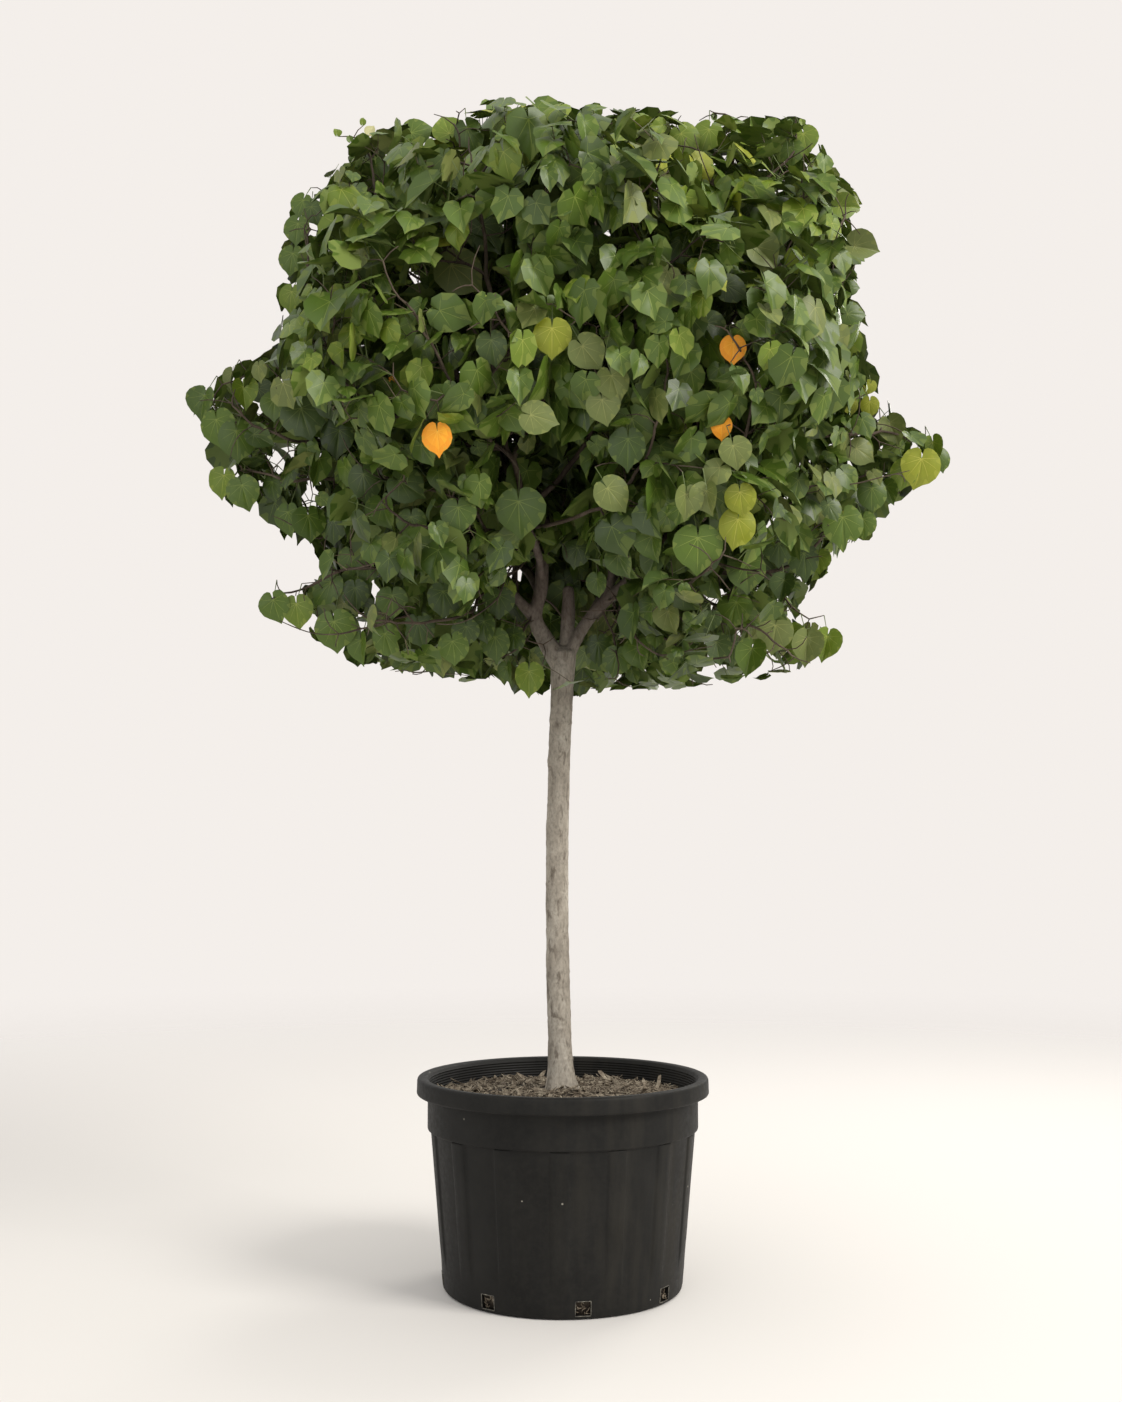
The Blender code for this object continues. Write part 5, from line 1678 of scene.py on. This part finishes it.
def leafy(crown, tree, ends, heroes):
    """Leaves along the thin twigs and round each shoot end, turned to the light."""
    rng = np.random.RandomState(9)
    leaves = list(heroes)
    centres = [h.centre() for h in heroes]
    sizes = [h.size for h in heroes]
    thin = [i for i in range(len(tree.P)) if not tree.fixed[i] and tree.R[i] < 0.00265]
    is_end = set(int(e) for e in tree.end_node if e >= 0)
    outs = crown.outward(tree.P)
    tone = 0.40 + 0.30 * grain(tree.P, 4.2, 3) + 0.16 * grain(tree.P, 11.0, 4)
    order = sorted(thin, key=lambda i: (i not in is_end, i))
    spin = 0.0
    arr_c = np.array(centres).reshape(-1, 3)
    arr_s = np.array(sizes)
    keep = np.array([[h[0], h[1], h[2], h[3]] for h in HEROES], float)
    for i in order:
        p, out = tree.P[i], outs[i]
        par = tree.par[i]
        way = unit(p - tree.P[par]) if par >= 0 else out
        depth_here = float(crown.depth(p)[0])
        n = 4 if i in is_end else 1
        if i not in is_end and depth_here > 0.24 and rng.uniform() < 0.45:
            continue
        e1 = unit(np.cross(way, [0.31, 0.17, 0.94]))
        e2 = np.cross(way, e1)
        for k in range(n):
            for attempt in range(3):
                spin += 2.39996 + rng.normal(0, 0.25)
                radial = math.cos(spin) * e1 + math.sin(spin) * e2
                size = float(np.clip(rng.normal(0.077, 0.0135), 0.044, 0.108))
                if i in is_end:
                    size *= (1.0, 0.92, 0.80, 0.62)[k]
                top = max(0.0, min(1.0, (p[2] - 2.20) / 0.22))
                stalk = unit(0.62 * radial + 0.55 * out + 0.30 * way + np.array([0, 0, 0.16]) + rng.normal(0, 0.12, 3))
                reach_ = size * rng.uniform(0.42, 0.80)
                join = p + stalk * reach_
                up = unit(0.80 * out + np.array([0, 0, 0.30]) + 0.40 * radial + rng.normal(0, 0.42, 3))
                tip = (1 - 0.75 * top) * np.array([0, 0, -0.95]) + 0.50 * stalk + rng.normal(0, 0.30 + 0.25 * top, 3)
                if top > 0.3 and rng.uniform() < 0.5:
                    tip = tip + np.array([0, 0, 0.9]) * top
                depth = float(crown.depth(p + stalk * reach_ * 0.5)[0])
                leaf = Leaf(p, join, tip, up, size, 0)
                c = leaf.centre()
                dc = float(crown.depth(c)[0])
                if dc < -0.110 or (dc < -0.018 and abs(c[1]) > 0.22):
                    continue
                if c[1] > 0.800 or c[1] < -0.600 or c[2] > 2.470:
                    continue
                corners = leaf.corners()
                px = project(corners)
                if past_outline(px).max() > 5:
                    continue
                if fork_window(px, c[1]) or in_gap(px):
                    continue
                if c[2] < 1.34 and math.hypot(c[0], c[1]) < 0.07:
                    continue
                mid = px.mean(0)
                if covers_hero(mid, c[1], keep):
                    continue
                if abs(c[1]) < 0.30 and loose_part(mid[0], mid[1]) and rng.uniform() < 0.60:
                    continue
                if len(arr_c):
                    d = np.linalg.norm(arr_c - c, axis=1)
                    if (d < 0.40 * np.minimum(arr_s, size) + 0.004).any():
                        continue
                base = float(tone[i])
                leaf.cls = CLASS[pick_class_with_painted_light(rng, depth, out, c, base)]
                leaf.fine = False
                leaf.stalk = STALK_GREEN if rng.uniform() < 0.7 else STALK_BROWN
                leaves.append(leaf)
                arr_c = np.concatenate([arr_c, [c]])
                arr_s = np.append(arr_s, size)
                break
    return leaves


GROUPS = {
    "leaves_top": ("foliage_top_left", "foliage_top_middle_left", "foliage_top_middle_right", "foliage_top_right"),
    "leaves_front": ("foliage_upper_front", "foliage_middle_front_left", "foliage_middle_front_right"),
    "leaves_sides": ("foliage_middle_left", "foliage_middle_right", "foliage_left_arm", "foliage_right_tip",
                     "foliage_low_left", "foliage_low_right"),
    "leaves_back": ("foliage_top_back", "foliage_middle_back_right", "foliage_middle_back_left", "foliage_back_arm",
                    "foliage_heart"),
    "leaves_low": ("foliage_low_front_left", "foliage_low_front_right", "foliage_low_back", "foliage_low_left_spray",
                   "foliage_low_right_spray"),
}


def mass_of(p):
    best, who = 1e9, None
    for name, (centre, _, _) in MASSES.items():
        v = p - np.array(centre)
        dist = float(np.linalg.norm(v))
        d = (v / max(dist, 1e-9))[None]
        k = dist / float(mass_radius(name, d, seams=False)[0])
        if k < best:
            best, who = k, name
    return who


def make_leaves(leaves, mats):
    fine, coarse = leaf_templates()
    rng = np.random.RandomState(15)
    owner = {n: g for g, names in GROUPS.items() for n in names}
    grouped = {g: [] for g in GROUPS}
    for leaf in leaves:
        grouped[owner[mass_of(leaf.centre())]].append(leaf)
    made, total = [], 0
    for g, own in grouped.items():
        own.sort(key=lambda leaf: float(leaf.centre()[2]))
        cost = [280 if leaf.fine else 112 for leaf in own]
        pieces = max(1, math.ceil(sum(cost) / 185000))
        builds, run, share = [Build() for _ in range(pieces)], 0, sum(cost) / pieces
        for leaf, c in zip(own, cost):
            leaf_into(builds[min(pieces - 1, int(run / share))], leaf, fine, coarse, rng)
            run += c
        for k, b in enumerate(builds):
            if not b.co:
                continue
            tris = b.triangles()
            total += tris
            print("leaves", g, k, tris)
            if tris >= 200000:
                raise RuntimeError("a piece of leaves has %d triangles" % tris)
            obj = b.make(g if k == 0 else "%s_%d" % (g, k + 1), mats)
            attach(obj, "root")
            if k == 0:
                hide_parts(*GROUPS[g])
            made.append(obj)
    print("leaves in all", total)
    return made


# ----------------------------------------------------------- stage, lights --
def add_camera():
    cam = bpy.data.cameras.new("camera")
    cam.lens = FOCAL / FRAME_H * 36.0
    cam.sensor_width = 36.0
    cam.sensor_fit = "AUTO"
    cam.clip_end = 100.0
    obj = bpy.data.objects.new("camera", cam)
    obj.location = CAMERA
    obj.rotation_euler = (math.radians(90 + TILT), 0, 0)
    bpy.context.scene.collection.objects.link(obj)
    bpy.context.scene.camera = obj


def add_stage():
    """A pale seamless floor that fades into the backdrop's tone far out."""
    mesh = bpy.data.meshes.new("floor")
    bm = bmesh.new()
    rings, sides = 24, 64
    centre = bm.verts.new((0, 0, 0))
    last = None
    for k in range(1, rings + 1):
        r = 14.0 * (k / rings) ** 1.8
        ring = [bm.verts.new((r * math.cos(2 * math.pi * s / sides), r * math.sin(2 * math.pi * s / sides), 0))
                for s in range(sides)]
        for s in range(sides):
            s2 = (s + 1) % sides
            if last is None:
                bm.faces.new((centre, ring[s], ring[s2]))
            else:
                bm.faces.new((last[s], ring[s], ring[s2], last[s2]))
        last = ring
    bm.to_mesh(mesh)
    bm.free()
    floor = bpy.data.objects.new("floor", mesh)
    bpy.context.scene.collection.objects.link(floor)
    floor.location.z = -0.0005
    mat, tree, bsdf = new_material("floor_paper")
    bsdf.inputs["Base Color"].default_value = (0.74, 0.718, 0.692, 1)
    bsdf.inputs["Roughness"].default_value = 0.9
    bsdf.inputs["Specular IOR Level"].default_value = 0.1
    tc = node(tree, "ShaderNodeTexCoord")
    length = node(tree, "ShaderNodeVectorMath", operation="LENGTH")
    tree.links.new(tc.outputs["Object"], length.inputs[0])
    fade = node(tree, "ShaderNodeMapRange", interpolation_type="SMOOTHSTEP")
    fade.inputs["From Min"].default_value = 1.2
    fade.inputs["From Max"].default_value = 7.0
    tree.links.new(length.outputs["Value"], fade.inputs["Value"])
    clear = node(tree, "ShaderNodeBsdfTransparent")
    blend = node(tree, "ShaderNodeMixShader")
    tree.links.new(fade.outputs["Result"], blend.inputs[0])
    tree.links.new(bsdf.outputs[0], blend.inputs[1])
    tree.links.new(clear.outputs[0], blend.inputs[2])
    out = [n for n in tree.nodes if n.type == "OUTPUT_MATERIAL"][0]
    tree.links.new(blend.outputs[0], out.inputs["Surface"])
    mesh.materials.append(mat)


def add_world():
    world = bpy.data.worlds.new("studio")
    bpy.context.scene.world = world
    world.use_nodes = True
    tree = world.node_tree
    for n in list(tree.nodes):
        tree.nodes.remove(n)
    out = tree.nodes.new("ShaderNodeOutputWorld")
    shown = tree.nodes.new("ShaderNodeBackground")
    shown.inputs["Color"].default_value = (0.905, 0.862, 0.826, 1)
    shown.inputs["Strength"].default_value = 1.0
    lit = tree.nodes.new("ShaderNodeBackground")
    lit.inputs["Strength"].default_value = 1.0
    tc = tree.nodes.new("ShaderNodeTexCoord")
    sep = tree.nodes.new("ShaderNodeSeparateXYZ")
    tree.links.new(tc.outputs["Generated"], sep.inputs[0])
    r = tree.nodes.new("ShaderNodeValToRGB")
    r.color_ramp.elements[0].position = 0.0
    r.color_ramp.elements[0].color = (0.50, 0.475, 0.445, 1)
    r.color_ramp.elements[1].position = 1.0
    r.color_ramp.elements[1].color = (0.98, 0.96, 0.94, 1)
    up = tree.nodes.new("ShaderNodeMapRange")
    up.inputs["From Min"].default_value = -0.4
    up.inputs["From Max"].default_value = 0.9
    tree.links.new(sep.outputs[2], up.inputs["Value"])
    tree.links.new(up.outputs["Result"], r.inputs["Fac"])
    tree.links.new(r.outputs["Color"], lit.inputs["Color"])
    path = tree.nodes.new("ShaderNodeLightPath")
    blend = tree.nodes.new("ShaderNodeMixShader")
    tree.links.new(path.outputs["Is Camera Ray"], blend.inputs[0])
    tree.links.new(lit.outputs[0], blend.inputs[1])
    tree.links.new(shown.outputs[0], blend.inputs[2])
    tree.links.new(blend.outputs[0], out.inputs["Surface"])


def area(name, place, target, size, power, rgb):
    light = bpy.data.lights.new(name, "AREA")
    light.shape = "RECTANGLE"
    light.size, light.size_y = size
    light.energy = power
    light.color = rgb
    obj = bpy.data.objects.new(name, light)
    obj.location = place
    obj.rotation_euler = (Vector(target) - Vector(place)).to_track_quat("-Z", "Y").to_euler()
    obj.visible_camera = False
    bpy.context.scene.collection.objects.link(obj)


def add_lights():
    area("key", (5.44, -3.68, 5.11), (0, 0, 1.35), (3.2, 3.2), 440, (1.0, 0.965, 0.91))
    area("fill_front", (-1.6, -4.2, 2.2), (0, 0, 1.3), (3.0, 2.4), 26, (0.95, 0.98, 1.0))
    area("rim", (2.4, 3.0, 3.4), (0, 0, 1.9), (1.6, 1.6), 60, (1.0, 0.97, 0.90))


# -------------------------------------------------------------------- main --
def main():
    scene = bpy.context.scene
    scene.view_settings.view_transform = "Standard"
    scene.view_settings.look = "None"
    add_camera()
    add_stage()
    add_world()
    add_lights()

    pot, beads = make_pot(pot_material(), worn_material())
    for obj in (pot, beads):
        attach(obj, "root")
    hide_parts("pot")

    fill = make_soil(mix_material("bark_mix_dark", True))
    chips = make_chips(mix_material("bark_chips", False), mix_material("bark_chips_pale", False))
    for obj in (fill, chips):
        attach(obj, "root")
    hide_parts("bark_mix")

    bark = bark_material("grey_bark")
    twig = bark_material("twig_bark", twig=True)
    crown = Crown()
    tree, ends, heroes = grow(crown)
    stem = make_stem(bark, [])
    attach(stem, "root")
    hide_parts("trunk", *BOUGHS)
    twigs = make_twigs(tree, None)
    print("twigs", twigs.triangles(), "nodes", len(tree.P), "ends", len(ends))
    obj = twigs.make("twigs", [twig, twig])
    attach(obj, "root")

    leaves = leafy(crown, tree, ends, heroes)
    print("leaf count", len(leaves), "fine", sum(1 for l in leaves if l.fine))
    make_leaves(leaves, leaf_materials())


main()
